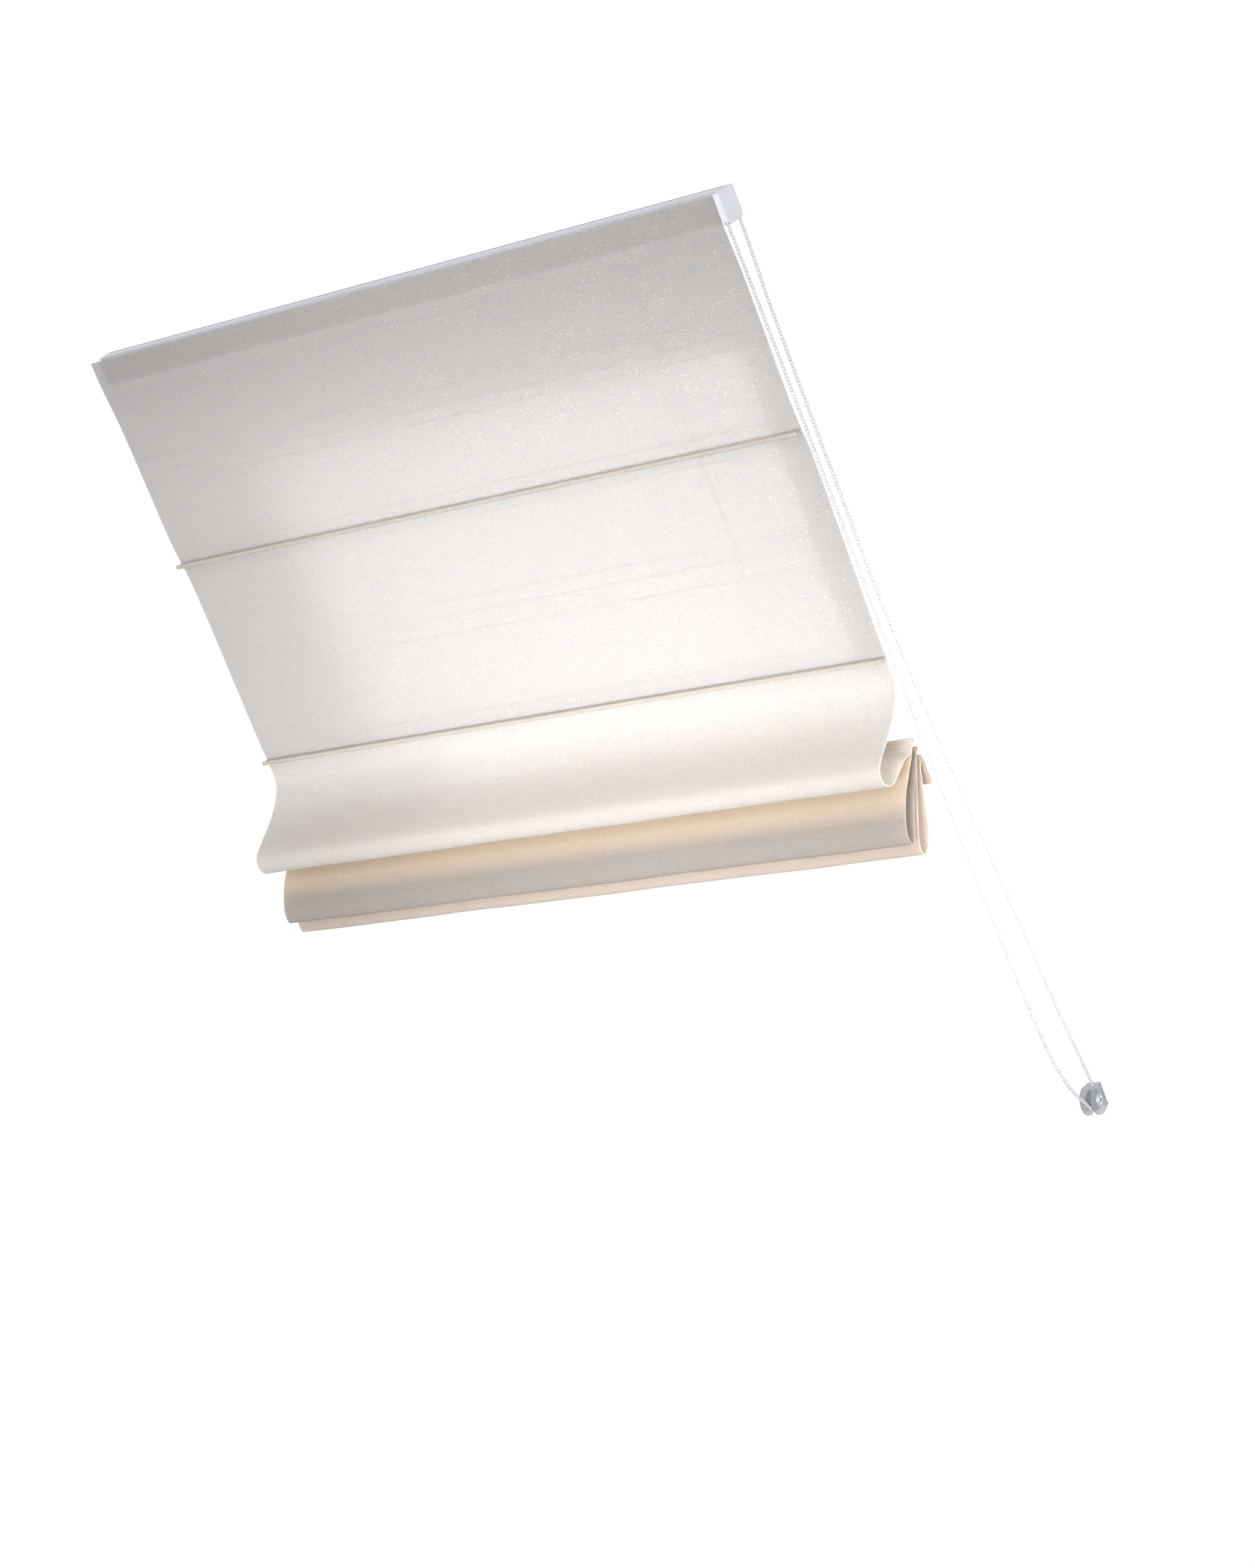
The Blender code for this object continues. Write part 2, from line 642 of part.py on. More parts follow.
def make_hem():
    """A flat sleeve below the last rod, along the slope, with a flat bar in it for weight."""
    y0 = rod_centre(ROD_COUNT).x + POCKET_RADIUS + TOUCH_GAP
    y1 = y0 + HEM_LENGTH
    middle = -FABRIC_BACK + HEM_OFFSET
    half = HEM_THICKNESS / 2
    bar = HEM_BAR_THICKNESS / 2
    slot = bar + TOUCH_GAP
    outer = arc((y1 - half, middle), half, -90, 90, 6) + arc((y0 + half, middle), half, 90, 270, 6)
    sleeve = extrusion("hem_sleeve", outer, -HALF_WIDTH, HALF_WIDTH, "fabric", SLOPE)
    room = rectangle(y0 + half, y1 - half, middle - slot, middle + slot)
    cut(sleeve, extrusion_mesh("slot", room, -HALF_WIDTH - RUNNING_GAP, HALF_WIDTH + RUNNING_GAP))
    strip = rectangle(y0 + half + TOUCH_GAP, y1 - half - TOUCH_GAP, middle - bar, middle + bar)
    end = HALF_WIDTH - HEM_BAR_END_MARGIN
    extrusion("hem_bar", strip, -end, end, "aluminium", SLOPE)


def make_lift_cord(side, x):
    """The cord's route: off the spool, out of the rail, through the rings to a stop below the last."""
    lean = RING_RADIUS - RING_WIRE - CORD_DIAMETER / 2 - TOUCH_GAP
    route = [(SHAFT_Y, CORD_Z), (RAIL_EDGE + CORD_HOLE_RADIUS, CORD_Z)]
    for number, share in zip(range(1, ROD_COUNT + 1), (0, 0, 0.9, 0.3, 0)):
        route.append(rod_centre(number) + ring_offset(number) - TO_ROOM * lean * share)
    end = route[-1] + DOWN_SLOPE * RING_WIRE
    route[-1] = end
    tube("lift_cord_" + side, [(x, y, z) for y, z in route], CORD_DIAMETER, "cord")
    bm = bmesh.new()
    bmesh.ops.create_uvsphere(bm, u_segments=12, v_segments=8, radius=STOP_RADIUS)
    below = end + DOWN_SLOPE * (TOUCH_GAP + STOP_RADIUS)
    place("cord_stop_" + side, mesh_from(bm, "cord_stop"), "white_plastic", SLOPE, (x, *below))


# The cloth between the rods


def cloth_end_above(number):
    """Where the cloth that comes down from above meets a rod's pocket, a touch from it."""
    if number <= OPEN_RODS:
        return pocket_foot(number) - DOWN_SLOPE * (POCKET_LEGS / 2 + TOUCH_GAP) + TO_ROOM * FABRIC_THICKNESS / 2
    return pocket_foot(number) + GRAVITY * TOUCH_GAP + FORWARD * POCKET_LEGS / 4


def cloth_end_below(number):
    """Where the cloth leaves a rod's pocket for the next rod down."""
    if number <= OPEN_RODS:
        return pocket_foot(number) + DOWN_SLOPE * (POCKET_LEGS / 2 + TOUCH_GAP) + TO_ROOM * FABRIC_THICKNESS / 2
    return pocket_foot(number) + GRAVITY * TOUCH_GAP - FORWARD * POCKET_LEGS / 4


def open_panel(start, end, rises):
    """A panel that spans two ends along the slope, with a rise towards the window at some places."""
    points = [start]
    for run, rise in rises:
        anchor = start if run > 0 else end
        points.append(anchor + DOWN_SLOPE * run - TO_ROOM * rise)
    return points + [end]


def hanging(start, drops):
    return [start + FORWARD * forward + GRAVITY * down for forward, down in drops]


def make_cloth_half(name, path):
    """A sheet as wide as the blind: a path in the (y, z) plane run along x and thickened."""
    bm = bmesh.new()
    verts = [bm.verts.new((-HALF_WIDTH, *point)) for point in path]
    edges = [bm.edges.new(pair) for pair in zip(verts, verts[1:])]
    swept = bmesh.ops.extrude_edge_only(bm, edges=edges)
    moved = [item for item in swept["geom"] if isinstance(item, bmesh.types.BMVert)]
    bmesh.ops.translate(bm, vec=(FABRIC_WIDTH, 0, 0), verts=moved)
    cloth = place(name, mesh_from(bm, name), "fabric", SLOPE)
    shell = cloth.modifiers.new("thickness", "SOLIDIFY")
    shell.thickness = FABRIC_THICKNESS
    shell.offset = 0
    shell.use_even_offset = True


def make_panel(number, points, fold):
    """A panel in two halves that meet at the numbered fold point, so that each can ride with its rod."""
    steps = 4
    path = smooth_path(points, steps)
    middle = fold * steps
    seam = (path[middle + 1] - path[middle - 1]).normalized() * TOUCH_GAP / 2
    make_cloth_half(f"fabric_{number}_upper", path[:middle] + [path[middle] - seam])
    make_cloth_half(f"fabric_{number}_lower", [path[middle] + seam] + path[middle + 1 :])


def make_cloth():
    top = below_fabric(FABRIC_TOP, FABRIC_THICKNESS / 2)
    rail_edge = below_fabric(RAIL_EDGE, FABRIC_THICKNESS / 2)
    panel_1 = open_panel(rail_edge, cloth_end_above(1), PANEL_1_RISE)
    make_panel(1, [top, *panel_1], 3)
    make_panel(2, open_panel(cloth_end_below(1), cloth_end_above(2), PANEL_2_RISE), 3)
    approach = [cloth_end_above(3) + FORWARD * 0.002 + GRAVITY * 0.006, cloth_end_above(3)]
    fold_3 = [cloth_end_below(2), *hanging(pocket_foot(2), FOLD_3), *approach]
    make_panel(3, fold_3, 4)
    start, end = cloth_end_below(3), cloth_end_above(4)
    fold_4 = [start, *hanging(start, FOLD_4_FRONT), *hanging(end, FOLD_4_BACK), end]
    make_panel(4, fold_4, 4)
    start, end = cloth_end_below(4), cloth_end_above(5)
    fold_5 = [start, *hanging(start, FOLD_5_FRONT), *hanging(end, FOLD_5_BACK), end]
    make_panel(5, fold_5, 4)


# The tensioner and the chain


def make_tensioner():
    x0 = TENSIONER_X - TENSIONER_WIDTH / 2
    x1 = TENSIONER_X + TENSIONER_WIDTH / 2
    half = TENSIONER_LENGTH / 2
    centre = (TENSIONER_Y, PULLEY_Z)
    reach = PULLEY_RADIUS + BEAD_DIAMETER / 2 + TENSIONER_LIP
    foot = [(TENSIONER_Y + half, 0), (TENSIONER_Y - half, 0)]
    body = extrusion(
        "tensioner_body", [*foot, *arc(centre, reach, 180, 360, 20)], x0, x1, "clear_plastic", SLOPE
    )
    beyond = 2 * reach
    room = rectangle(TENSIONER_Y - beyond, TENSIONER_Y + beyond, PULLEY_Z - beyond, -TENSIONER_BASE)
    cut(body, extrusion_mesh("room", room, x0 + TENSIONER_CHEEK, x1 - TENSIONER_CHEEK))
    axle_hole = AXLE_RADIUS + TOUCH_GAP
    cut(body, cylinder_mesh("axle_hole", axle_hole, (TENSIONER_X, *centre), 2 * TENSIONER_WIDTH, "x"))
    for end in (-1, 1):
        place_on = (TENSIONER_X, TENSIONER_Y + end * TENSIONER_HOLE_SPACING / 2, 0)
        cut(body, cylinder_mesh("screw_hole", TENSIONER_HOLE_RADIUS, place_on, 4 * TENSIONER_BASE, "z"))


def make_axle_screw():
    """The pulley's axle: a plain shank through both cheeks and a domed head with a cross slot."""
    half = TENSIONER_WIDTH / 2
    seat = half + TOUCH_GAP
    edge = seat + AXLE_HEAD_EDGE
    face = edge + AXLE_HEAD_DOME
    profile = [
        (-half, 0),
        (-half, AXLE_RADIUS),
        (seat, AXLE_RADIUS),
        (seat, AXLE_HEAD_RADIUS),
        (edge, AXLE_HEAD_RADIUS),
        (edge + AXLE_HEAD_DOME * 0.75, AXLE_HEAD_RADIUS * 0.6),
        (face, 0),
    ]
    screw = turned("tensioner_screw", profile, "chrome", PULLEY)
    floor = face - AXLE_SLOT_DEPTH
    ceiling = face + AXLE_SLOT_DEPTH
    width = AXLE_SLOT_WIDTH / 2
    for y, z in ((AXLE_SLOT_REACH, width), (width, AXLE_SLOT_REACH)):
        cut(screw, box_mesh("cross_slot", floor, ceiling, -y, y, -z, z))


def make_pulley():
    pulley = make_chain_wheel("tensioner_pulley", PULLEY_RADIUS, PULLEY_POCKETS, 0, "clear_plastic", PULLEY)
    reach = TENSIONER_WIDTH / 2 - TENSIONER_CHEEK - TOUCH_GAP
    join(pulley, extrusion_mesh("hub", circle(PULLEY_HUB_RADIUS, SMALL_ROUND, HUB_PHASE), -reach, reach))
    cut(pulley, extrusion_mesh("bore", circle(AXLE_RADIUS + TOUCH_GAP, SMALL_ROUND), -2 * reach, 2 * reach))


def make_chain():
    """The endless chain: over the sprocket, down the slack front strand, round the pulley and back up."""
    down_run = TENSIONER_Y - SHAFT_Y
    over_sprocket = arc((0, -SHAFT_Z), SPROCKET_RADIUS, -90, -255, 11)
    round_pulley = arc((down_run, -PULLEY_Z), PULLEY_RADIUS, 60, -90, 9)
    front = smooth_path(FRONT_STRAND, 2)
    back = smooth_path(BACK_STRAND, 2)
    points = []
    for down, depth in [*front, *round_pulley, *back, *over_sprocket]:
        share = (down - CHAIN_STRAIGHT) / (down_run - 2 * CHAIN_STRAIGHT)
        x = SPROCKET_X + (TENSIONER_X - SPROCKET_X) * min(max(share, 0), 1)
        points.append((x, SHAFT_Y + down, -depth))
    tube("bead_chain", points, BEAD_DIAMETER, "bead_plastic", cyclic=True)


OPEN_RODS = 2
ROD_COUNT = 5
SIDES = (("left", -CORD_X), ("right", CORD_X))

clear_scene()
BLIND = make_collection("skylight_roman_blind")
CUTTERS = make_collection("cutters")
MATERIALS = {name: make_material(name) for name in LOOKS}
SLOPE = make_empty("slope_frame", None, (0, 0, 0), -ROOF_PITCH)
DRIVE = make_empty("drive_axis", SLOPE, (0, SHAFT_Y, SHAFT_Z))
PULLEY = make_empty("pulley_axis", SLOPE, (TENSIONER_X, TENSIONER_Y, PULLEY_Z))

make_headrail()
make_clip("left", CLIP_INSET - HALF_WIDTH)
make_clip("centre", 0)
make_clip("right", HALF_WIDTH - CLIP_INSET)
make_tape("hook_tape", RAIL_FRONT + TOUCH_GAP)
make_tape("loop_tape", RAIL_FRONT + TAPE_THICKNESS + 2 * TOUCH_GAP)
make_end_cap()
make_drive_housing()
make_drive_train()
make_rods()
make_hem()
for cord_side, cord_x in SIDES:
    make_lift_cord(cord_side, cord_x)
make_cloth()
make_tensioner()
make_axle_screw()
make_pulley()
make_chain()
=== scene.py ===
"""Looks of the skylight Roman blind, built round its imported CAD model.

Places are worked out in the slope frame of the CAD: x along the headrail, y down the roof slope and z up to
the ceiling, whose surface is z = 0. place_at() turns such a point into the model's own frame. Sizes are in
metres.
"""
import json
import math

import bmesh
import bpy
from mathutils import Matrix, Vector

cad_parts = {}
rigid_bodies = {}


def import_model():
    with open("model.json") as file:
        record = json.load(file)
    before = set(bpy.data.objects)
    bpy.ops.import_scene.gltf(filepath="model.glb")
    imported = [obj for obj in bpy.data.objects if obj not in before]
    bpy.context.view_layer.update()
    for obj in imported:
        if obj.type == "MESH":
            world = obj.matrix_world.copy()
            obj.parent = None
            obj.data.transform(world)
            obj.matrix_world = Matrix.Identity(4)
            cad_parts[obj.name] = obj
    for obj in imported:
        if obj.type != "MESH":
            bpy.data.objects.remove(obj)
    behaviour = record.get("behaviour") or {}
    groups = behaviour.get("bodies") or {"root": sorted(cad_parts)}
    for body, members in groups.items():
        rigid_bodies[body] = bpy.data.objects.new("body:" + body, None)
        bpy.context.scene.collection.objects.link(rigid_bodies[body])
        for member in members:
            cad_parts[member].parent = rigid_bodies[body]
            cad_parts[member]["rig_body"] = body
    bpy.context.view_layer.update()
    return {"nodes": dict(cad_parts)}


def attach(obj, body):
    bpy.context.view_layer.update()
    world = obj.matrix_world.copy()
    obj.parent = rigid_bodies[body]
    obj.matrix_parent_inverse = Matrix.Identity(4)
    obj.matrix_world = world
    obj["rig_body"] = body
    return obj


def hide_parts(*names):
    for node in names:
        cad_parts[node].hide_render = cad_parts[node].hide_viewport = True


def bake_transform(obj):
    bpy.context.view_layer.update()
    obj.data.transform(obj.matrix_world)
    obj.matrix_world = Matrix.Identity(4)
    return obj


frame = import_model()

# Sizes shared with the CAD solids
ROOF_PITCH = math.radians(50.75)
HALF_WIDTH = 0.5
CLOTH_THICKNESS = 0.0008
TOUCH_GAP = 0.0003
RAIL_EDGE = 0.018
CLOTH_BACK = 0.028
CLOTH_TOP = -0.015
CORD_X = 0.35
CORD_DIAMETER = 0.0012
CORD_HOLE_RADIUS = 0.0024
SHAFT_Y = 0.0015
SHAFT_Z = -0.0190
SPOOL_RADIUS = 0.0040
CORD_Z = SHAFT_Z + SPOOL_RADIUS + CORD_DIAMETER / 2 + TOUCH_GAP
POCKET_RADIUS = 0.0029
POCKET_LENGTH = 0.0101
POCKET_LEGS = 0.0024
ROD_PLACES = (
    (0.2787, 0.0051), (0.5750, 0.0051), (0.6813, 0.0050), (0.6938, 0.0025), (0.7063, 0.0),
)
OPEN_RODS = 2
HEM_LENGTH = 0.034
HEM_THICKNESS = 0.0042
HEM_OFFSET = 0.0022
RING_RADIUS = 0.0034
RING_WIRE = 0.0009
STOP_RADIUS = 0.0026

# The bead chain and its two wheels
BEAD_PITCH = 0.00436
SPROCKET_X = 0.51005
SPROCKET_RADIUS = 20 * BEAD_PITCH / (2 * math.pi)
PULLEY_X = 0.554
PULLEY_Y = 1.2010
PULLEY_Z = -0.01649
PULLEY_RADIUS = 18 * BEAD_PITCH / (2 * math.pi)
CHAIN_STRAIGHT = 0.020

# Small forms that the solids leave out: the chain's beads and inner cord, cord wound on a spool, stitches,
# the thread that holds a ring, and the details of the tensioner's axle
BEAD_DIAMETER = 0.0038
BEAD_LENGTH = 0.9 * BEAD_PITCH
CHAIN_CORD_DIAMETER = 0.0026
WINDING_RADIUS = 0.0042
WINDING_PITCH = 0.0013
WINDING_TURNS = 13
WINDING_STEPS = 16
STITCH_PITCH = 0.0036
STITCH_LENGTH = 0.0027
STITCH_RADIUS = 0.00022
STITCH_MARGIN = 0.006
STITCH_LEAN = 0.04
POCKET_SEAM = 0.0022
HEM_SEAM = 0.0075
THREAD_RADIUS = 0.0002
THREAD_LOOP_RADIUS = 0.0014
THREAD_LOOP_STEP = 0.0007
THREAD_LOOP_LEAN = 0.25
THREAD_FOOT = 0.0004
AXLE_SEAT = 0.0091
WASHER_RADIUS = 0.0068
WASHER_WIRE = 0.0009
SLOT_REACH = 0.0037
SLOT_WIDTH = 0.0011
SLOT_FLOOR = (0.0098, 0.0104)

# How far the lift cord leans towards the wire in each rod's rings, as a share of the room it has
CORD_LEANS = (0, 0, 0.9, 0.3, 0)

# Outlines of round bodies, as (place along, radius) in shares of half the length and of the full radius
BEAD_OUTLINE = ((-1, 0.70), (-0.90, 0.88), (-0.62, 0.99), (0.62, 0.99), (0.90, 0.88), (1, 0.70))
STITCH_OUTLINE = ((-1, 0.4), (-0.6, 1), (0.6, 1), (1, 0.4))
STOP_OUTLINE = (
    (-1, 0.35), (-0.93, 0.62), (-0.6, 0.90), (-0.2, 1), (0.2, 1), (0.6, 0.90), (0.93, 0.62), (1, 0.35),
)

# Directions in the slope frame's (y, z) plane
GRAVITY = Vector((math.sin(ROOF_PITCH), -math.cos(ROOF_PITCH)))
FORWARD = Vector((-math.cos(ROOF_PITCH), -math.sin(ROOF_PITCH)))
DOWN_SLOPE = Vector((1, 0))
TO_ROOM = Vector((0, -1))
TILT = Matrix.Rotation(-ROOF_PITCH, 4, "X")

# Cloth panels and folds, as in the CAD solids: (run down the slope, rise) for an open panel, with a run from
# the end below where negative, and (forward, down) from the rod above for a hanging one
PANEL_1_RISE = ((0.063, 0.0035), (0.130, 0.0035), (-0.040, -0.0022))
PANEL_2_RISE = ((0.018, 0.0024), (0.060, 0.0030), (0.140, 0.0018), (-0.020, -0.0008))
FOLD_3 = (
    (-0.0195, 0.030), (-0.0180, 0.062), (-0.0075, 0.093), (0.0095, 0.132), (0.0085, 0.148),
    (-0.0040, 0.1565), (-0.0190, 0.152), (-0.0310, 0.135), (-0.0450, 0.115),
)
FOLD_3_APPROACH = ((0.002, 0.006),)
FOLD_4_FRONT = ((0.0040, 0.020), (0.0135, 0.062), (0.0110, 0.100), (0.0000, 0.1165))
FOLD_4_BACK = ((0.0000, 0.100), (0.0035, 0.060), (0.0005, 0.020))
FOLD_5_FRONT = ((-0.0015, 0.030), (-0.0040, 0.070), (-0.0085, 0.104), (-0.0190, 0.116), (-0.0285, 0.104))
FOLD_5_BACK = ((-0.0180, 0.070), (-0.0060, 0.025))
# How the open panels' halves turn from body to body when they fold: places along the half, and how far it
# has turned there. The first panel stays on the rail down to the rail's edge
FOLD_TURNS = {
    (1, "upper"): ((0, 0), (0.2, 0), (0.29, 0.21), (0.88, 0.88), (1, 1)),
    (1, "lower"): ((0, 0), (0.12, 0.12), (0.88, 0.88), (1, 1)),
    (2, "upper"): ((0, 0), (0.11, 0.20), (0.88, 0.90), (1, 1)),
    (2, "lower"): ((0, 0), (0.12, 0.12), (0.88, 0.88), (1, 1)),
}
# Steps of a panel's smooth path between each two points
PATH_STEPS = 10

# Soft ripples across the cloth: their height, and the waves along x with the share and the shift of each
RIPPLE_HEIGHT = 0.0004
RIPPLE_WAVES = ((17, 1.0, 1), (41, 0.6, 2))

# Columns of the cloth's mesh, closer together towards the two side edges
INNER_REACH = 0.47
INNER_COLUMNS = 38
EDGE_COLUMNS = (0.500, 0.4985, 0.496, 0.490, 0.481)
# The thinner cloth of a rod's pocket, where its legs begin above the foot, and the hem's step between rows
POCKET_CLOTH = 0.75 * CLOTH_THICKNESS
POCKET_LEG_START = 0.0007
HEM_STEP = 0.010

# The chain's two strands, as (run down the slope from the shaft, depth below the ceiling)
FRONT_STRAND = (
    (0.0, 0.0329), (0.040, 0.0338), (0.115, 0.0363), (0.230, 0.0410), (0.340, 0.0470), (0.460, 0.0525),
    (0.580, 0.0580), (0.700, 0.0640), (0.820, 0.0690), (0.920, 0.0712), (1.000, 0.0718), (1.060, 0.0710),
    (1.100, 0.0688), (1.135, 0.0625), (1.160, 0.0545), (1.180, 0.0440), (1.193, 0.0345),
)
BACK_STRAND = (
    (1.180, 0.0060), (1.140, 0.0085), (1.080, 0.0130), (0.980, 0.0174), (0.870, 0.0225), (0.770, 0.0275),
    (0.670, 0.0318), (0.570, 0.0338), (0.470, 0.0335), (0.350, 0.0280), (0.235, 0.0220), (0.125, 0.0150),
    (0.060, 0.0085), (0.025, 0.0056),
)


def place_at(x, point):
    return TILT @ Vector((x, point[0], point[1]))


# The camera, at the photograph's place

# Where it stands, which way it looks, which way is down in the picture, and its sensor and lens in mm
CAMERA_PLACE = (2.6308, -2.9509, -1.5810)
CAMERA_LOOK = (-0.58885, 0.77264, 0.23722)
CAMERA_DOWN = (-0.11858, 0.20774, -0.97097)
CAMERA_SENSOR = 36
CAMERA_LENS = 78.28
CAMERA_REACH = (0.05, 100)


def make_camera():
    look = Vector(CAMERA_LOOK).normalized()
    right = look.cross(-Vector(CAMERA_DOWN)).normalized()
    up = right.cross(look)
    data = bpy.data.cameras.new("camera")
    data.sensor_width = CAMERA_SENSOR
    data.lens = CAMERA_LENS
    data.clip_start, data.clip_end = CAMERA_REACH
    camera = bpy.data.objects.new("camera", data)
    turn = Matrix((right, up, -look)).transposed().to_4x4()
    camera.matrix_world = Matrix.Translation(CAMERA_PLACE) @ turn
    bpy.context.scene.collection.objects.link(camera)
    bpy.context.scene.camera = camera


# Materials

# How fine the parts of the linen's pattern are, across the cloth and down it, as scales of their textures
GRAIN_SCALE = (560, 620, 1)
SLUB_SCALE = (70, 640, 1)
CLOTH_CLOUD_SCALE = (2.2, 3.0, 1)
DASH_SCALE = (250, 320, 1)
PATCH_SCALE = (9, 14, 1)
THREAD_SCALE = 140.0
RIB_SCALE = 105.0
# How strongly grain and slubs make up the yarn, and the span of it that carries the colour
GRAIN_SHARE = 0.68
SLUB_SHARE = 0.32
YARN_SPAN = (0.37, 0.63)
THICK_SPAN = (0.56, 0.63)
CLOUD_SPAN = (0.3, 0.7)
# A thick slub is darker and cooler than the rest, in red, green and blue
SLUB_SHADE = (0.82, 0.86, 0.92)
# White of the painted glints of the metallic thread
GLINT_COLOUR = (1.0, 0.99, 0.97, 1.0)
# Places down the cloth, in metres, between which painted shade darkens it below its top edge, under the
# rail, and fades out again
PAINTED_SHADE_FROM = (0.030, 0.055)
PAINTED_SHADE_TO = (0.175, 0.075)
# Heights on the rail between which the painted shade on its front face and the painted shadow along the
# ceiling begin, and its outer wall
RAIL_FACE_SHADE_SPAN = (-0.0236, -0.0242)
RAIL_SHADOW_SPAN = (-0.0078, -0.0070)
RAIL_OUTER_WALL = 0.0005 - RAIL_EDGE
# Towards the ceiling and down the slope, as directions in the model's own frame
CEILING_UP = (0.0, math.sin(ROOF_PITCH), math.cos(ROOF_PITCH))
SLOPE_DOWN = (0.0, math.cos(ROOF_PITCH), -math.sin(ROOF_PITCH))
BLACK = (0, 0, 0, 1.0)
WHITE = (1, 1, 1, 1.0)


class Nodes:
    """The node tree of a material or the world, with short calls for the nodes used below."""

    def __init__(self, name, world=False):
        self.owner = (bpy.data.worlds if world else bpy.data.materials).new(name)
        self.owner.use_nodes = True
        self.tree = self.owner.node_tree
        self.tree.nodes.clear()
        self.output = self.tree.nodes.new("ShaderNodeOutputWorld" if world else "ShaderNodeOutputMaterial")

    def node(self, kind, values=None, **settings):
        made = self.tree.nodes.new(kind)
        for name, value in settings.items():
            setattr(made, name, value)
        for socket, value in (values or {}).items():
            if isinstance(value, bpy.types.NodeSocket):
                self.tree.links.new(value, made.inputs[socket])
            else:
                made.inputs[socket].default_value = value
        return made

    def maths(self, operation, a, b=0.0):
        return self.node("ShaderNodeMath", {0: a, 1: b}, operation=operation).outputs[0]

    def clamp(self, value, low, high, bottom=0.0, top=1.0):
        """The bottom value at low and the top value at high, straight in between."""
        values = {"Value": value, "From Min": low, "From Max": high, "To Min": bottom, "To Max": top}
        return self.node("ShaderNodeMapRange", values).outputs[0]

    def blend(self, share, a, b):
        """Colour a where share is 0, and b where it is 1."""
        return self.node("ShaderNodeMix", {0: share, 6: a, 7: b}, data_type="RGBA").outputs[2]

    def stretch(self, place, scale):
        return self.node("ShaderNodeMapping", {"Vector": place, "Scale": scale}).outputs[0]

    def noise(self, place, scale, detail=2.0):
        values = {"Vector": self.stretch(place, scale), "Scale": 1.0, "Detail": detail, "Roughness": 0.55}
        return self.node("ShaderNodeTexNoise", values).outputs["Fac"]

    def wave(self, place, along, values):
        """Threads side by side, as a wave that runs along X or Y."""
        values = {"Vector": self.stretch(place, (1, 0, 0) if along == "X" else (0, 1, 0)), **values}
        return self.node("ShaderNodeTexWave", values, bands_direction=along).outputs["Fac"]

    def along(self, place, direction):
        """How far a place lies along a direction of length 1."""
        made = self.node("ShaderNodeVectorMath", {0: place, 1: direction}, operation="DOT_PRODUCT")
        return made.outputs["Value"]

    def on_object(self):
        return self.node("ShaderNodeTexCoord").outputs["Object"]

    def bump(self, height, strength, distance):
        values = {"Height": height, "Strength": strength, "Distance": distance}
        return self.node("ShaderNodeBump", values).outputs[0]

    def mottled(self, place, scale, detail, colour, dark):
        """A soft pattern, and a colour that turns dark times as bright where the pattern is low."""
        pattern = self.noise(place, scale, detail)
        return pattern, self.blend(self.clamp(pattern, *CLOUD_SPAN), shade(colour, dark), rgb(*colour))

    def finish(self, shader):
        self.tree.links.new(shader, self.output.inputs["Surface"])
        return self.owner

    def finish_principled(self, values):
        return self.finish(self.node("ShaderNodeBsdfPrincipled", values).outputs[0])

    def shown(self):
        """1 for what is seen, also in gloss or through clear plastic, and 0 for light on the blind."""
        path = self.node("ShaderNodeLightPath").outputs
        beyond = self.maths("MAXIMUM", path["Is Glossy Ray"], path["Is Transmission Ray"])
        return self.maths("MAXIMUM", path["Is Camera Ray"], beyond)


def rgb(red, green, blue):
    return (red, green, blue, 1.0)


def shade(colour, factor):
    """A colour made darker or lighter, by one factor or by one each for red, green and blue."""
    factors = factor if isinstance(factor, tuple) else (factor,) * 3
    return rgb(*(k * c for k, c in zip(factors, colour)))


def painted_glints(n, place, across, down):
    """1 on a painted glint of the metallic thread, which is a white dash along the weft, and 0 beside it.
    There are more of them in patches towards the top and along the right edge."""
    values = {"Vector": n.stretch(place, DASH_SCALE), "Scale": 1.0, "Randomness": 1.0}
    dash = n.node("ShaderNodeTexVoronoi", values, voronoi_dimensions="2D")
    near = n.maths("LESS_THAN", dash.outputs["Distance"], 0.26)
    picked = n.node("ShaderNodeSeparateColor", {"Color": dash.outputs["Color"]}).outputs[0]
    towards_top = n.maths("MULTIPLY", n.clamp(across, -0.20, 0.30), n.clamp(down, 0.26, 0.20))
    right_edge = n.maths("MULTIPLY", n.clamp(across, 0.41, 0.46), n.clamp(down, 0.75, 0.60))
    glint_area = n.maths("MAXIMUM", towards_top, right_edge)
    patch = n.maths("MULTIPLY", glint_area, n.clamp(n.noise(place, PATCH_SCALE), 0.34, 0.60))
    chosen = n.maths("GREATER_THAN", n.maths("ADD", picked, n.maths("MULTIPLY", patch, 0.10)), 1.0)
    return n.maths("MULTIPLY", near, chosen)


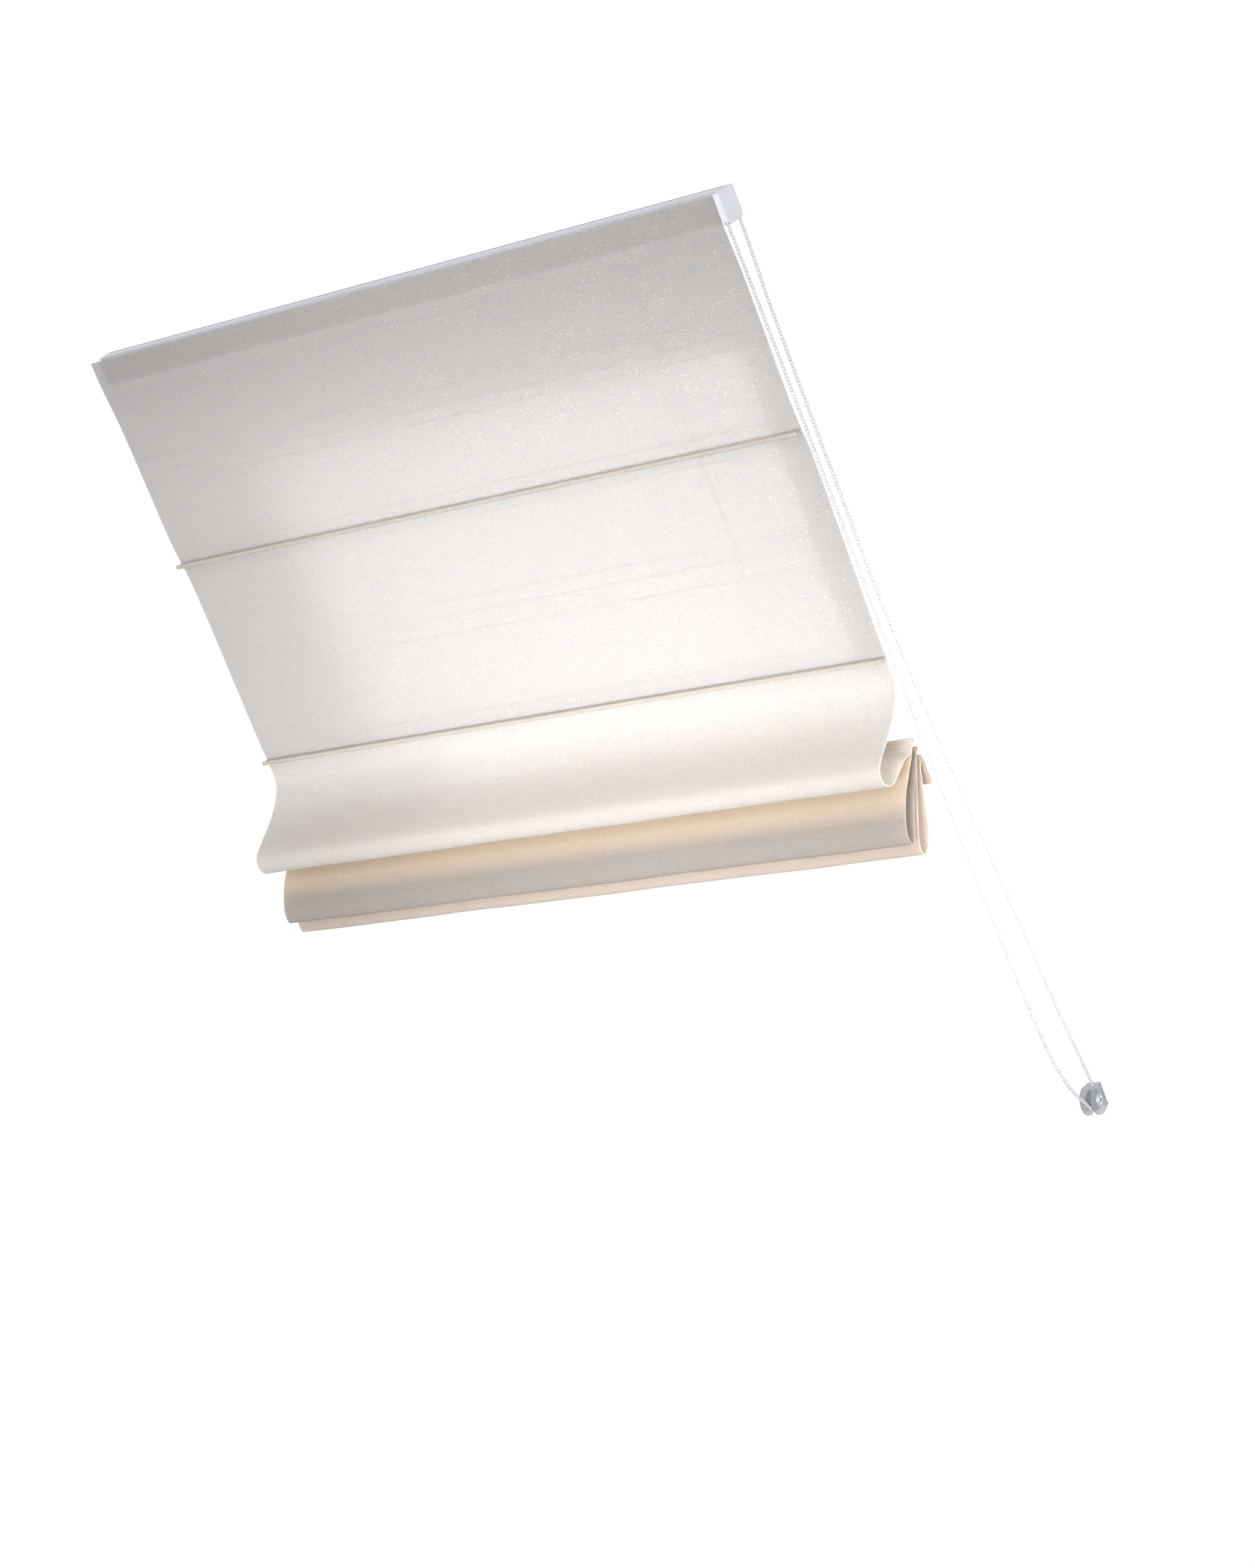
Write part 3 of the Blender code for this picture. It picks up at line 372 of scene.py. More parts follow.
def cloth_material(name, tint, through, warm, upper=None, dip=0.0, ribs=False):
    """Loose linen: a fine grain, short slubs along the blind and a few painted glints of metallic thread,
    laid out on the cloth's map. through is the share of light that passes, and warm its colour. upper is
    another colour, painted light and shade on part of the cloth, and the two lengths down the cloth between
    which it fades into the tint; dip is how much painted shade darkens the cloth a little below its top
    edge, under the rail; ribs are the cross threads that a tight tuck shows."""
    n = Nodes(name)
    place = n.node("ShaderNodeUVMap", uv_map="cloth").outputs[0]
    across, down = n.node("ShaderNodeSeparateXYZ", {0: place}).outputs[:2]
    grain = n.noise(place, GRAIN_SCALE)
    slubs = n.noise(place, SLUB_SCALE)
    yarn = n.maths("ADD", n.maths("MULTIPLY", grain, GRAIN_SHARE), n.maths("MULTIPLY", slubs, SLUB_SHARE))
    share = n.clamp(yarn, *YARN_SPAN)
    base = n.blend(share, shade(tint, 0.80), shade(tint, 1.20))
    cloud = n.clamp(n.noise(place, CLOTH_CLOUD_SCALE), *CLOUD_SPAN)
    base = n.blend(n.maths("MULTIPLY", cloud, 0.2), base, rgb(*tint))
    # A thick slub also lets less light through
    thick = n.clamp(slubs, *THICK_SPAN)
    base = n.blend(n.maths("MULTIPLY", thick, 0.6), base, shade(tint, SLUB_SHADE))
    if upper:
        colour, full, gone = upper
        grained = n.blend(share, shade(colour, 0.86), shade(colour, 1.14))
        base = n.blend(n.clamp(down, gone, full), base, grained)
    # Painted glints: white dashes stand in for the metallic thread catching the light
    glint = painted_glints(n, place, across, down)
    base = n.blend(glint, base, GLINT_COLOUR)
    # Painted shade: the cloth darkens a little below its top edge, under the rail
    painted_shade_band = n.maths("MINIMUM", n.clamp(down, *PAINTED_SHADE_FROM), n.clamp(down, *PAINTED_SHADE_TO))
    painted_shade = n.maths("MULTIPLY", painted_shade_band, dip)
    base = n.blend(painted_shade, base, BLACK)
    if ribs:
        rib = n.wave(place, "X", {"Scale": RIB_SCALE, "Distortion": 1.2, "Detail": 1.0})
        base = n.blend(n.maths("MULTIPLY", rib, 0.14), base, BLACK)
    threads = {"Scale": THREAD_SCALE, "Distortion": 0.6}
    weft, warp = [n.maths("MULTIPLY", n.wave(place, along, threads), 0.3) for along in ("Y", "X")]
    height = n.maths("ADD", n.maths("ADD", weft, warp), n.maths("MULTIPLY", yarn, 0.9))
    normal = n.bump(height, 0.35, 0.0004)
    body = n.node(
        "ShaderNodeBsdfPrincipled",
        {
            "Base Color": base, "Roughness": n.maths("SUBTRACT", 0.92, n.maths("MULTIPLY", glint, 0.6)),
            "Normal": normal, "Specular IOR Level": 0.25, "Sheen Weight": 0.08,
        },
    )
    light = n.blend(share, shade(warm, 0.88), rgb(*warm))
    light = n.blend(thick, light, shade(warm, SLUB_SHADE))
    # The same painted shade below the top edge, in the light that passes
    light = n.blend(painted_shade, light, BLACK)
    passed = n.node("ShaderNodeBsdfTranslucent", {"Color": light, "Normal": normal})
    both = n.node("ShaderNodeMixShader", {0: through, 1: body.outputs[0], 2: passed.outputs[0]})
    return n.finish(both.outputs[0])


def plastic_material(name, colour, roughness, depth):
    """Moulded plastic: even colour with a faint cloud in it, and a fine skin."""
    n = Nodes(name)
    place = n.on_object()
    cloud, base = n.mottled(place, (40, 40, 40), 3.0, colour, 0.94)
    rough = n.clamp(cloud, *CLOUD_SPAN, roughness - 0.05, roughness + 0.05)
    normal = n.bump(n.noise(place, (1800, 1800, 1800)), depth, 0.0002)
    return n.finish_principled({"Base Color": base, "Roughness": rough, "Normal": normal})


def rail_material(name, colour, front, seam):
    """The rail, white; front is the colour of painted shade on its front face, and seam that of a painted
    shadow along the long edge by the ceiling.
    """
    n = Nodes(name)
    place = n.on_object()
    base = n.mottled(place, (14, 40, 40), 3.0, colour, 0.95)[1]
    height = n.along(place, CEILING_UP)
    # Painted shade: the front face is greyer
    base = n.blend(n.clamp(height, *RAIL_FACE_SHADE_SPAN), base, rgb(*front))
    # Painted shadow: a dark band along the long edge by the ceiling
    outer = n.maths("LESS_THAN", n.along(place, SLOPE_DOWN), RAIL_OUTER_WALL)
    base = n.blend(n.maths("MULTIPLY", n.clamp(height, *RAIL_SHADOW_SPAN), outer), base, rgb(*seam))
    normal = n.bump(n.noise(place, (1500, 1500, 1500)), 0.08, 0.0002)
    return n.finish_principled({"Base Color": base, "Roughness": 0.38, "Normal": normal})


def clear_material(name, colour, share, roughness):
    """Clear or milky plastic with a grey tint and soft flow marks; share is how much light passes."""
    n = Nodes(name)
    flow, base = n.mottled(n.on_object(), (120, 300, 120), 2.0, colour, 0.90)
    return n.finish_principled({
        "Base Color": base, "Roughness": roughness, "IOR": 1.49, "Transmission Weight": share,
        "Normal": n.bump(flow, 0.12, 0.0003),
    })


def metal_material(name, colour, roughness, along):
    """Bare metal with fine drawing marks along one direction."""
    n = Nodes(name)
    marks, base = n.mottled(n.on_object(), along, 3.0, colour, 0.9)
    rough = n.clamp(marks, *CLOUD_SPAN, roughness - 0.06, roughness + 0.08)
    normal = n.bump(marks, 0.1, 0.0001)
    return n.finish_principled({"Base Color": base, "Roughness": rough, "Metallic": 1.0, "Normal": normal})


def fibre_material(name, colour, scale, depth):
    """Something with a nap or a twist: hook tape, loop tape or cord."""
    n = Nodes(name)
    nap, base = n.mottled(n.on_object(), scale, 2.0, colour, 0.78)
    normal = n.bump(nap, depth, 0.0006)
    return n.finish_principled({"Base Color": base, "Roughness": 0.9, "Normal": normal, "Sheen Weight": 0.2})


# Mesh helpers


def add_piece(name, mesh, material, body, replaces=()):
    thing = bpy.data.objects.new(name, mesh)
    bpy.context.scene.collection.objects.link(thing)
    mesh.materials.clear()
    mesh.materials.append(material)
    if body:
        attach(thing, body)
    if replaces:
        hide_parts(*replaces)
    return thing


def mesh_of(bm, name, sharp=40):
    bmesh.ops.recalc_face_normals(bm, faces=bm.faces)
    mesh = bpy.data.meshes.new(name)
    bm.to_mesh(mesh)
    bm.free()
    mesh.shade_smooth()
    mesh.set_sharp_from_angle(angle=math.radians(sharp))
    return mesh


def add_turned(bm, centre, axis, profile, sides):
    """A round body about an axis in the slope frame, its ends closed; profile has (place along, radius)."""
    turn = axis.to_track_quat("Z", "Y")
    rings = []
    for along, radius in profile:
        ring = []
        for k in range(sides):
            angle = 2 * math.pi * k / sides
            spot = Vector((math.cos(angle) * radius, math.sin(angle) * radius, along))
            ring.append(bm.verts.new(TILT @ (centre + turn @ spot)))
        rings.append(ring)
    for low, high in zip(rings, rings[1:]):
        for k in range(sides):
            bm.faces.new((low[k], low[k - sides + 1], high[k - sides + 1], high[k]))
    bm.faces.new(rings[0][::-1])
    bm.faces.new(rings[-1])


def add_ring(bm, centre, axis, radius, wire, sides, around):
    """A round ring about an axis in the slope frame."""
    turn = axis.to_track_quat("Z", "Y")
    rows = []
    for i in range(sides):
        angle = 2 * math.pi * i / sides
        row = []
        for k in range(around):
            bend = 2 * math.pi * k / around
            reach = radius + wire * math.cos(bend)
            spot = Vector((math.cos(angle) * reach, math.sin(angle) * reach, wire * math.sin(bend)))
            row.append(bm.verts.new(TILT @ (centre + turn @ spot)))
        rows.append(row)
    for low, high in zip(rows, rows[1:] + rows[:1]):
        for k in range(around):
            bm.faces.new((low[k], low[k - around + 1], high[k - around + 1], high[k]))


def tube_mesh(name, points, radius, sides, cyclic=False):
    """A round tube through points of the model's frame."""
    bm = bmesh.new()
    rings = []
    last = len(points) - 1
    up = Vector((1, 0, 0))
    for i, point in enumerate(points):
        before = points[i - 1] if cyclic or i else point
        after = points[(i + 1) % len(points)] if cyclic or i < last else point
        ahead = (after - before).normalized()
        across = ahead.cross(up).normalized()
        other = ahead.cross(across)
        ring = []
        for k in range(sides):
            angle = 2 * math.pi * k / sides
            ring.append(bm.verts.new(point + (across * math.cos(angle) + other * math.sin(angle)) * radius))
        rings.append(ring)
    pairs = list(zip(rings, rings[1:])) + ([(rings[-1], rings[0])] if cyclic else [])
    for low, high in pairs:
        for k in range(sides):
            bm.faces.new((low[k], low[k - sides + 1], high[k - sides + 1], high[k]))
    if not cyclic:
        bm.faces.new(rings[0][::-1])
        bm.faces.new(rings[-1])
    return mesh_of(bm, name, 70)


def smooth_path(points, steps):
    """Points on a Catmull-Rom curve through the given ones, with so many steps between each two."""
    knots = [Vector(point) for point in points]
    knots = [knots[0] * 2 - knots[1]] + knots + [knots[-1] * 2 - knots[-2]]
    path = []
    for i in range(1, len(knots) - 2):
        a, b, c, d = knots[i - 1 : i + 3]
        for k in range(steps):
            t = k / steps
            slope = (c - a) * t
            bend = (2 * a - 5 * b + 4 * c - d) * t**2
            turn = (3 * b - a - 3 * c + d) * t**3
            path.append((2 * b + slope + bend + turn) / 2)
    path.append(knots[-2])
    return path


def arc(centre, radius, start, end, steps):
    points = []
    for i in range(steps + 1):
        angle = math.radians(start + (end - start) * i / steps)
        points.append(Vector((centre[0] + radius * math.cos(angle), centre[1] + radius * math.sin(angle))))
    return points


def path_length(path):
    return sum((b - a).length for a, b in zip(path, path[1:]))


def cloth_columns():
    inner = [-INNER_REACH + 2 * INNER_REACH * i / INNER_COLUMNS for i in range(INNER_COLUMNS + 1)]
    return [-x for x in EDGE_COLUMNS] + inner + list(EDGE_COLUMNS[::-1])


def path_normals(path):
    normals = []
    for i in range(len(path)):
        ahead = path[min(i + 1, len(path) - 1)] - path[max(i - 1, 0)]
        normals.append(Vector((-ahead.y, ahead.x)).normalized())
    return normals


def cloth_mesh(name, path, start, thickness, lift=None, normals=None):
    """A woven sheet: a path in the (y, z) plane run along x, with two faces and a rim, and a map of the
    cloth's own place in metres. lift(x, share) moves a point off the path, along the sheet's normal."""
    columns = cloth_columns()
    total = path_length(path)
    normals = normals or path_normals(path)
    bm = bmesh.new()
    uv = bm.loops.layers.uv.new("cloth")
    run = 0.0
    sides = {1: [], -1: []}
    lengths = []
    for i, point in enumerate(path):
        if i:
            run += (point - path[i - 1]).length
        lengths.append(start + run)
        for side, rows in sides.items():
            rows.append([])
            for x in columns:
                off = side * thickness / 2 + (lift(x, run / total) if lift else 0.0)
                rows[-1].append(bm.verts.new(place_at(x, point + normals[i] * off)))

    def add_face(corners):
        face = bm.faces.new([vert for vert, place in corners])
        for loop, (vert, place) in zip(face.loops, corners):
            loop[uv].uv = place

    last_row = len(path) - 1
    last_column = len(columns) - 1
    for side, rows in sides.items():
        for i in range(last_row):
            for j in range(last_column):
                around = ((i, j), (i + 1, j), (i + 1, j + 1), (i, j + 1))
                corners = [(rows[a][b], (columns[b], lengths[a])) for a, b in around]
                add_face(corners if side < 0 else corners[::-1])
    top, under = sides[1], sides[-1]
    rim = [(i, 0) for i in range(last_row)] + [(last_row, j) for j in range(last_column)]
    rim += [(i, last_column) for i in range(last_row, 0, -1)] + [(0, j) for j in range(last_column, 0, -1)]
    for (i, j), (k, m) in zip(rim, rim[1:] + rim[:1]):
        add_face([
            (top[i][j], (columns[j], lengths[i])), (top[k][m], (columns[m], lengths[k])),
            (under[k][m], (columns[m], lengths[k])), (under[i][j], (columns[j], lengths[i])),
        ])
    return mesh_of(bm, name, 55)


# Where the cloth and its rods are


def below_cloth(y, offset):
    return Vector((y, -CLOTH_BACK - offset))


def rod_centre(number):
    return below_cloth(*ROD_PLACES[number - 1])


def pocket_up(number):
    return TO_ROOM if number <= OPEN_RODS else -GRAVITY


def pocket_foot(number):
    return rod_centre(number) - pocket_up(number) * POCKET_LENGTH


def cloth_end_above(number):
    if number <= OPEN_RODS:
        beside = DOWN_SLOPE * (POCKET_LEGS / 2 + TOUCH_GAP)
        return pocket_foot(number) - beside + TO_ROOM * CLOTH_THICKNESS / 2
    return pocket_foot(number) + GRAVITY * TOUCH_GAP + FORWARD * POCKET_LEGS / 4


def cloth_end_below(number):
    if number <= OPEN_RODS:
        beside = DOWN_SLOPE * (POCKET_LEGS / 2 + TOUCH_GAP)
        return pocket_foot(number) + beside + TO_ROOM * CLOTH_THICKNESS / 2
    return pocket_foot(number) + GRAVITY * TOUCH_GAP - FORWARD * POCKET_LEGS / 4


def open_panel(start, end, rises):
    points = [start]
    for run, rise in rises:
        anchor = start if run > 0 else end
        points.append(anchor + DOWN_SLOPE * run - TO_ROOM * rise)
    return points + [end]


def hanging(start, drops):
    return [start + FORWARD * forward + GRAVITY * down for forward, down in drops]


def panel_points():
    """Each panel's points down the cloth, and which of them is its fold."""
    top = below_cloth(CLOTH_TOP, CLOTH_THICKNESS / 2)
    rail_edge = below_cloth(RAIL_EDGE, CLOTH_THICKNESS / 2)
    approach = [*hanging(cloth_end_above(3), FOLD_3_APPROACH), cloth_end_above(3)]
    ends = {number: (cloth_end_below(number - 1), cloth_end_above(number)) for number in (4, 5)}
    return (
        ([top, *open_panel(rail_edge, cloth_end_above(1), PANEL_1_RISE)], 3),
        (open_panel(cloth_end_below(1), cloth_end_above(2), PANEL_2_RISE), 3),
        ([cloth_end_below(2), *hanging(pocket_foot(2), FOLD_3), *approach], 4),
        ([ends[4][0], *hanging(ends[4][0], FOLD_4_FRONT), *hanging(ends[4][1], FOLD_4_BACK), ends[4][1]], 4),
        ([ends[5][0], *hanging(ends[5][0], FOLD_5_FRONT), *hanging(ends[5][1], FOLD_5_BACK), ends[5][1]], 4),
    )


def cloth_ripple(number, before, length, whole):
    """For cloth_mesh: a panel's ripples, which die out towards its two rods. before is the length of the
    panel's cloth above this strip, and whole is all of it."""
    def lift(x, share):
        along = (before + share * length) / whole
        ripple = sum(size * math.sin(x * wave + shift * number) for wave, size, shift in RIPPLE_WAVES)
        return math.sin(math.pi * along) * RIPPLE_HEIGHT * ripple

    return lift


def make_panel(number, points, fold, start, upper_look, lower_look):
    """A panel's two halves, each cut into strips at the places of its turn, where one is given. A strip that
    does not turn goes with the body at the half's start; the others, and a half without a turn, stay where
    they are. Returns its length.
    """
    path = smooth_path(points, PATH_STEPS)
    middle = fold * PATH_STEPS
    whole = path_length(path)
    upper_length = path_length(path[: middle + 1])
    above = "headrail" if number == 1 else f"rod_{number - 1}"
    normals = path_normals(path)
    halves = (
        ("upper", slice(0, middle + 1), 0.0, above, f"fold_{number}_front", upper_look),
        ("lower", slice(middle, None), upper_length, f"fold_{number}_back", f"rod_{number}", lower_look),
    )
    for half, span, before, body_a, body_b, look in halves:
        node = f"fabric_{number}_{half}"
        strips = strips_of(path[span], FOLD_TURNS.get((number, half)))
        for strip, (low, high, rows) in enumerate(strips, 1):
            part = [path[span][row] for row in rows]
            part_normals = [normals[span][row] for row in rows]
            length = path_length(part)
            lift = cloth_ripple(number, before, length, whole)
            name = f"{node}_cloth_{strip}"
            mesh = cloth_mesh(name, part, start + before, CLOTH_THICKNESS, lift, part_normals)
            piece = add_piece(name, mesh, look, None, (node,))
            if high > low:
                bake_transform(piece)
            else:
                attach(piece, body_a)
            before += length
    return whole


def strips_of(path, turns):
    """The rows of a half panel's strips, with where each strip begins and ends in the smooth turn between
    the half's two bodies. turns gives places along the half, and how far it has turned there."""
    if not turns:
        return [(0.0, 1.0, range(len(path)))]
    whole = path_length(path)
    shares = [path_length(path[: i + 1]) / whole for i in range(len(path))]
    places, amounts = zip(*turns)
    cuts = [min(range(len(path)), key=lambda row: abs(shares[row] - place)) for place in places]
    # The place in a smooth turn, 3 t^2 - 2 t^3, where it has gone as far as given
    smooth = [0.5 - math.sin(math.asin(1 - 2 * amount) / 3) for amount in amounts]
    strips = []
    for low, high, first, last in zip(smooth, smooth[1:], cuts, cuts[1:]):
        # A strip at an end of the turn is straight, without the turn's slow start
        straight = high > low and (low == 0 or high == 1)
        strips.append((low, high, (first, last) if straight else range(first, last + 1)))
    return strips


def make_pocket(number, start, material):
    """The tuck that holds a rod: up one leg, round the rod and down the other leg."""
    up = pocket_up(number)
    side = Vector((-up.y, up.x))
    if number <= OPEN_RODS:
        side = -side
    middle = POCKET_RADIUS - CLOTH_THICKNESS / 2
    half = POCKET_LEGS / 2 - CLOTH_THICKNESS / 2
    foot = pocket_foot(number)
    centre = rod_centre(number)
    meet = math.degrees(math.asin(half / middle))
    round_rod = [centre + side * -y + up * z for y, z in arc((0, 0), middle, 270 - meet, meet - 90, 28)]
    legs = [foot + side * half * sign + up * POCKET_LEG_START for sign in (1, -1)]
    path = [cloth_end_above(number), legs[0], *round_rod, legs[1], cloth_end_below(number)]
    if (round_rod[0] - legs[0]).length > (round_rod[-1] - legs[0]).length:
        path[2:-2] = round_rod[::-1]
    name = f"rod_pocket_{number}"
    mesh = cloth_mesh(name + "_cloth", path, start, POCKET_CLOTH)
    piece = add_piece(name + "_cloth", mesh, material, f"rod_{number}", (name,))
    length = path_length(path)
    return length


def make_hem(start, material):
    """The hem: cloth turned back round the weight bar and sewn above it."""
    y0 = rod_centre(5).x + POCKET_RADIUS + TOUCH_GAP
    y1 = y0 + HEM_LENGTH
    half = (HEM_THICKNESS - CLOTH_THICKNESS) / 2
    middle = -CLOTH_BACK + HEM_OFFSET
    upper = [Vector((y0 + CLOTH_THICKNESS + HEM_STEP * i, middle - half)) for i in range(4)]
    lower = [Vector((y, middle + half)) for y in (y1 - HEM_STEP, y1 - 2 * HEM_STEP, y0 + CLOTH_THICKNESS)]
    turn = arc((y1 - half - CLOTH_THICKNESS / 2, middle), half, -90, 90, 10)
    path = [p for p in upper if p.x < turn[0].x] + turn + lower
    mesh = cloth_mesh("hem_sleeve_cloth", path, start, CLOTH_THICKNESS)
    piece = add_piece("hem_sleeve_cloth", mesh, material, "rod_5", ("hem_sleeve",))


# Lengths down the panel between which its upper colour fades into its tint: on the loop's turned-back side,
# into the brighter painted glow of its inner sheet, and at the top of the panel below it, where a painted
# warm glow fades out
LOOP_TURNED = (0.174, 0.200)
STACK_PAINTED_GLOW = (0.066, 0.091)


def make_cloth():
    """All cloth from the top edge down: a panel and a pocket for each rod, then the hem."""
    # linen_open is the linen's own colour, with painted shade below the rail; the other linens are copies
    # with tints of painted light and shade
    cloth = cloth_material("linen_open", (0.618, 0.598, 0.589), 0.45, (0.93, 0.915, 0.905), dip=0.045)
    # Painted light: the tucks get a lighter, warmer copy of the linen
    tucked = cloth_material("linen_tucked", (0.780, 0.735, 0.685), 0.42, (0.95, 0.89, 0.82), ribs=True)
    start = 0.0
    for number, (points, fold) in enumerate(panel_points(), 1):
        lower_look = None
        # Painted light: the loop gets a lighter copy of the linen, and its inner sheet a still lighter,
        # warmer one, a painted glow of daylight through it, less on its turned-back side
        if number == OPEN_RODS + 1:
            through = (0.97, 0.95, 0.92)
            cloth = cloth_material("linen_loop", (0.690, 0.665, 0.650), 0.52, through)
            turned = ((0.670, 0.645, 0.630), *(start + place for place in LOOP_TURNED))
            lower_look = cloth_material("linen_inner", (0.860, 0.790, 0.720), 0.52, through, turned)
        # Painted shade and light: the stack gets a darker copy of the linen, with a painted warm glow at the
        # top of the panel
        if number == OPEN_RODS + 2:
            warm = ((0.765, 0.645, 0.530), *(start + place for place in STACK_PAINTED_GLOW))
            cloth = cloth_material("linen_stacked", (0.465, 0.426, 0.407), 0.45, (0.94, 0.88, 0.80), warm)
        # Painted light: the last panel, its pocket and the hem get a warmer copy of the linen
        if number == OPEN_RODS + 3:
            cloth = cloth_material("linen_last", (0.675, 0.596, 0.538), 0.45, (0.96, 0.89, 0.80))
        start += make_panel(number, points, fold, start, cloth, lower_look or cloth)
        start += make_pocket(number, start, tucked if number <= OPEN_RODS + 1 else cloth)
    make_hem(start, cloth)


# The bead chain


def chain_path():
    """The chain's centre line in the slope frame, in its travel order, as (x, y, z) points."""
    down_run = PULLEY_Y - SHAFT_Y
    over_sprocket = arc((0, -SHAFT_Z), SPROCKET_RADIUS, -90, -255, 22)
    round_pulley = arc((down_run, -PULLEY_Z), PULLEY_RADIUS, 60, -90, 18)
    strands = [smooth_path(strand, 6) for strand in (FRONT_STRAND, BACK_STRAND)]
    points = []
    for down, depth in [*strands[0], *round_pulley, *strands[1], *over_sprocket]:
        share = (down - CHAIN_STRAIGHT) / (down_run - 2 * CHAIN_STRAIGHT)
        x = SPROCKET_X + (PULLEY_X - SPROCKET_X) * min(max(share, 0), 1)
        points.append(Vector((x, SHAFT_Y + down, -depth)))
    return points + [points[0]]


def spaced(path, count):
    """So many points evenly along a path, with the direction at each."""
    step = path_length(path) / count
    made = []
    gone = 0.0
    for a, b in zip(path, path[1:]):
        length = (b - a).length
        while len(made) < count and len(made) * step < gone + length:
            made.append((a.lerp(b, (len(made) * step - gone) / length), (b - a).normalized()))
        gone += length
    return made


def make_chain(material, thread):
    path = chain_path()
    count = round(path_length(path) / BEAD_PITCH)
    profile = [(BEAD_LENGTH / 2 * along, BEAD_DIAMETER / 2 * size) for along, size in BEAD_OUTLINE]
    bm = bmesh.new()
    for centre, ahead in spaced(path, count):
        add_turned(bm, centre, ahead, profile, 12)
    beads = mesh_of(bm, "bead_chain_beads", 80)
    add_piece("bead_chain_beads", beads, material, "headrail", ("bead_chain",))
    # The cord between the beads is a real cord, coloured dark grey as painted shade for the gaps between the
    # beads
    cord = tube_mesh("bead_chain_cord", [TILT @ p for p in path[:-1]], CHAIN_CORD_DIAMETER / 2, 8, True)
    add_piece("bead_chain_cord", cord, thread, "headrail", ("bead_chain",))


# The lift cords, with their windings, rings and stops


def ring_centre(number):
    reach = RING_RADIUS + RING_WIRE + TOUCH_GAP
    reach += POCKET_LENGTH if number <= OPEN_RODS else POCKET_RADIUS
    return rod_centre(number) - TO_ROOM * reach


def make_lift_cord(side, x, cord, plastic):
    """A cord from its spool through the rings to the stop, in one piece between each two rods."""
    node = "lift_cord_" + side
    passes = cord_passes()
    exit_hole = Vector((RAIL_EDGE + CORD_HOLE_RADIUS, CORD_Z))
    for number, below in enumerate(passes, 1):
        above = exit_hole if number == 1 else passes[number - 2]
        # No points between its two ends, so that the cord runs straight between them
        path = [above, below]
        if number == 1:
            path.insert(0, Vector((SHAFT_Y, CORD_Z)))
        mesh = tube_mesh(f"{node}_{number}", [place_at(x, p) for p in path], CORD_DIAMETER / 2, 10)
        piece = add_piece(f"{node}_{number}", mesh, cord, None, (node,))
        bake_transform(piece)
    stop_top = passes[-1] + DOWN_SLOPE * (RING_WIRE + TOUCH_GAP)
    centre = stop_top + DOWN_SLOPE * STOP_RADIUS
    tail = [passes[-1], stop_top, centre, centre + DOWN_SLOPE * (STOP_RADIUS + CORD_DIAMETER)]
    mesh = tube_mesh(f"{node}_tail", [place_at(x, p) for p in tail], CORD_DIAMETER / 2, 10)
    add_piece(f"{node}_tail", mesh, cord, "rod_5", (node,))
    make_stop("cord_stop_" + side, x, centre, plastic)
    make_winding(node + "_winding", x, cord)


def cord_passes():
    """Where the lift cord passes through each rod's ring. In the third and fourth it leans to one side."""
    lean = RING_RADIUS - RING_WIRE - CORD_DIAMETER / 2 - TOUCH_GAP
    return [ring_centre(number) - TO_ROOM * lean * share for number, share in enumerate(CORD_LEANS, 1)]


def make_stop(node, x, centre, plastic):
    """The round stop at the foot of a lift cord, below its last ring."""
    bm = bmesh.new()
    profile = [(STOP_RADIUS * along, STOP_RADIUS * size) for along, size in STOP_OUTLINE]
    add_turned(bm, Vector((x, *centre)), Vector((0, 1, 0)), profile, 24)
    stop = mesh_of(bm, node + "_bell", 60)
    add_piece(node + "_bell", stop, plastic, "rod_5", (node,))


def make_winding(name, x, cord):
    """The part of a lift cord that is wound on its spool while the blind is part raised."""
    points = []
    for i in range(WINDING_TURNS * WINDING_STEPS + 1):
        turns = i / WINDING_STEPS
        y = SHAFT_Y + WINDING_RADIUS * math.sin(2 * math.pi * turns)
        z = SHAFT_Z + WINDING_RADIUS * math.cos(2 * math.pi * turns)
        points.append(TILT @ Vector((x + WINDING_PITCH * turns, y, z)))
    add_piece(name, tube_mesh(name, points, CORD_DIAMETER / 2, 6), cord, "drive")


def make_cord_ring(number, side, x, plastic, thread):
    """A ring for the lift cord, sewn to the window side of a rod's pocket with three turns of thread."""
    node = f"cord_ring_{number}_{side}"
    body = f"rod_{number}"
    centre = ring_centre(number)
    bm = bmesh.new()
    add_ring(bm, Vector((x, *centre)), Vector((0, 1, 0)), RING_RADIUS, RING_WIRE, 36, 12)
    add_piece(node + "_ring", mesh_of(bm, node + "_ring", 80), plastic, body, (node,))
    foot = centre + TO_ROOM * (RING_RADIUS + THREAD_FOOT)
    bm = bmesh.new()
    for place in (-1, 0, 1):
        spot = Vector((x + place * THREAD_LOOP_STEP, *foot))
        axis = Vector((1, place * THREAD_LOOP_LEAN, 0))
        add_ring(bm, spot, axis, THREAD_LOOP_RADIUS, THREAD_RADIUS, 14, 6)
    add_piece(node + "_thread", mesh_of(bm, node + "_thread", 80), thread, body)


# Stitches


def make_stitches(name, body, rows, thread):
    """Rows of small stitches along x, each row at a point of the (y, z) plane."""
    count = round((2 * HALF_WIDTH - 2 * STITCH_MARGIN) / STITCH_PITCH)
    profile = [(STITCH_LENGTH / 2 * along, STITCH_RADIUS * size) for along, size in STITCH_OUTLINE]
    bm = bmesh.new()
    for y, z in rows:
        for i in range(count):
            x = -HALF_WIDTH + STITCH_MARGIN + (i + 0.5) * STITCH_PITCH
            add_turned(bm, Vector((x, y, z)), Vector((1, STITCH_LEAN, 0)), profile, 5)
    add_piece(name, mesh_of(bm, name, 60), thread, body)


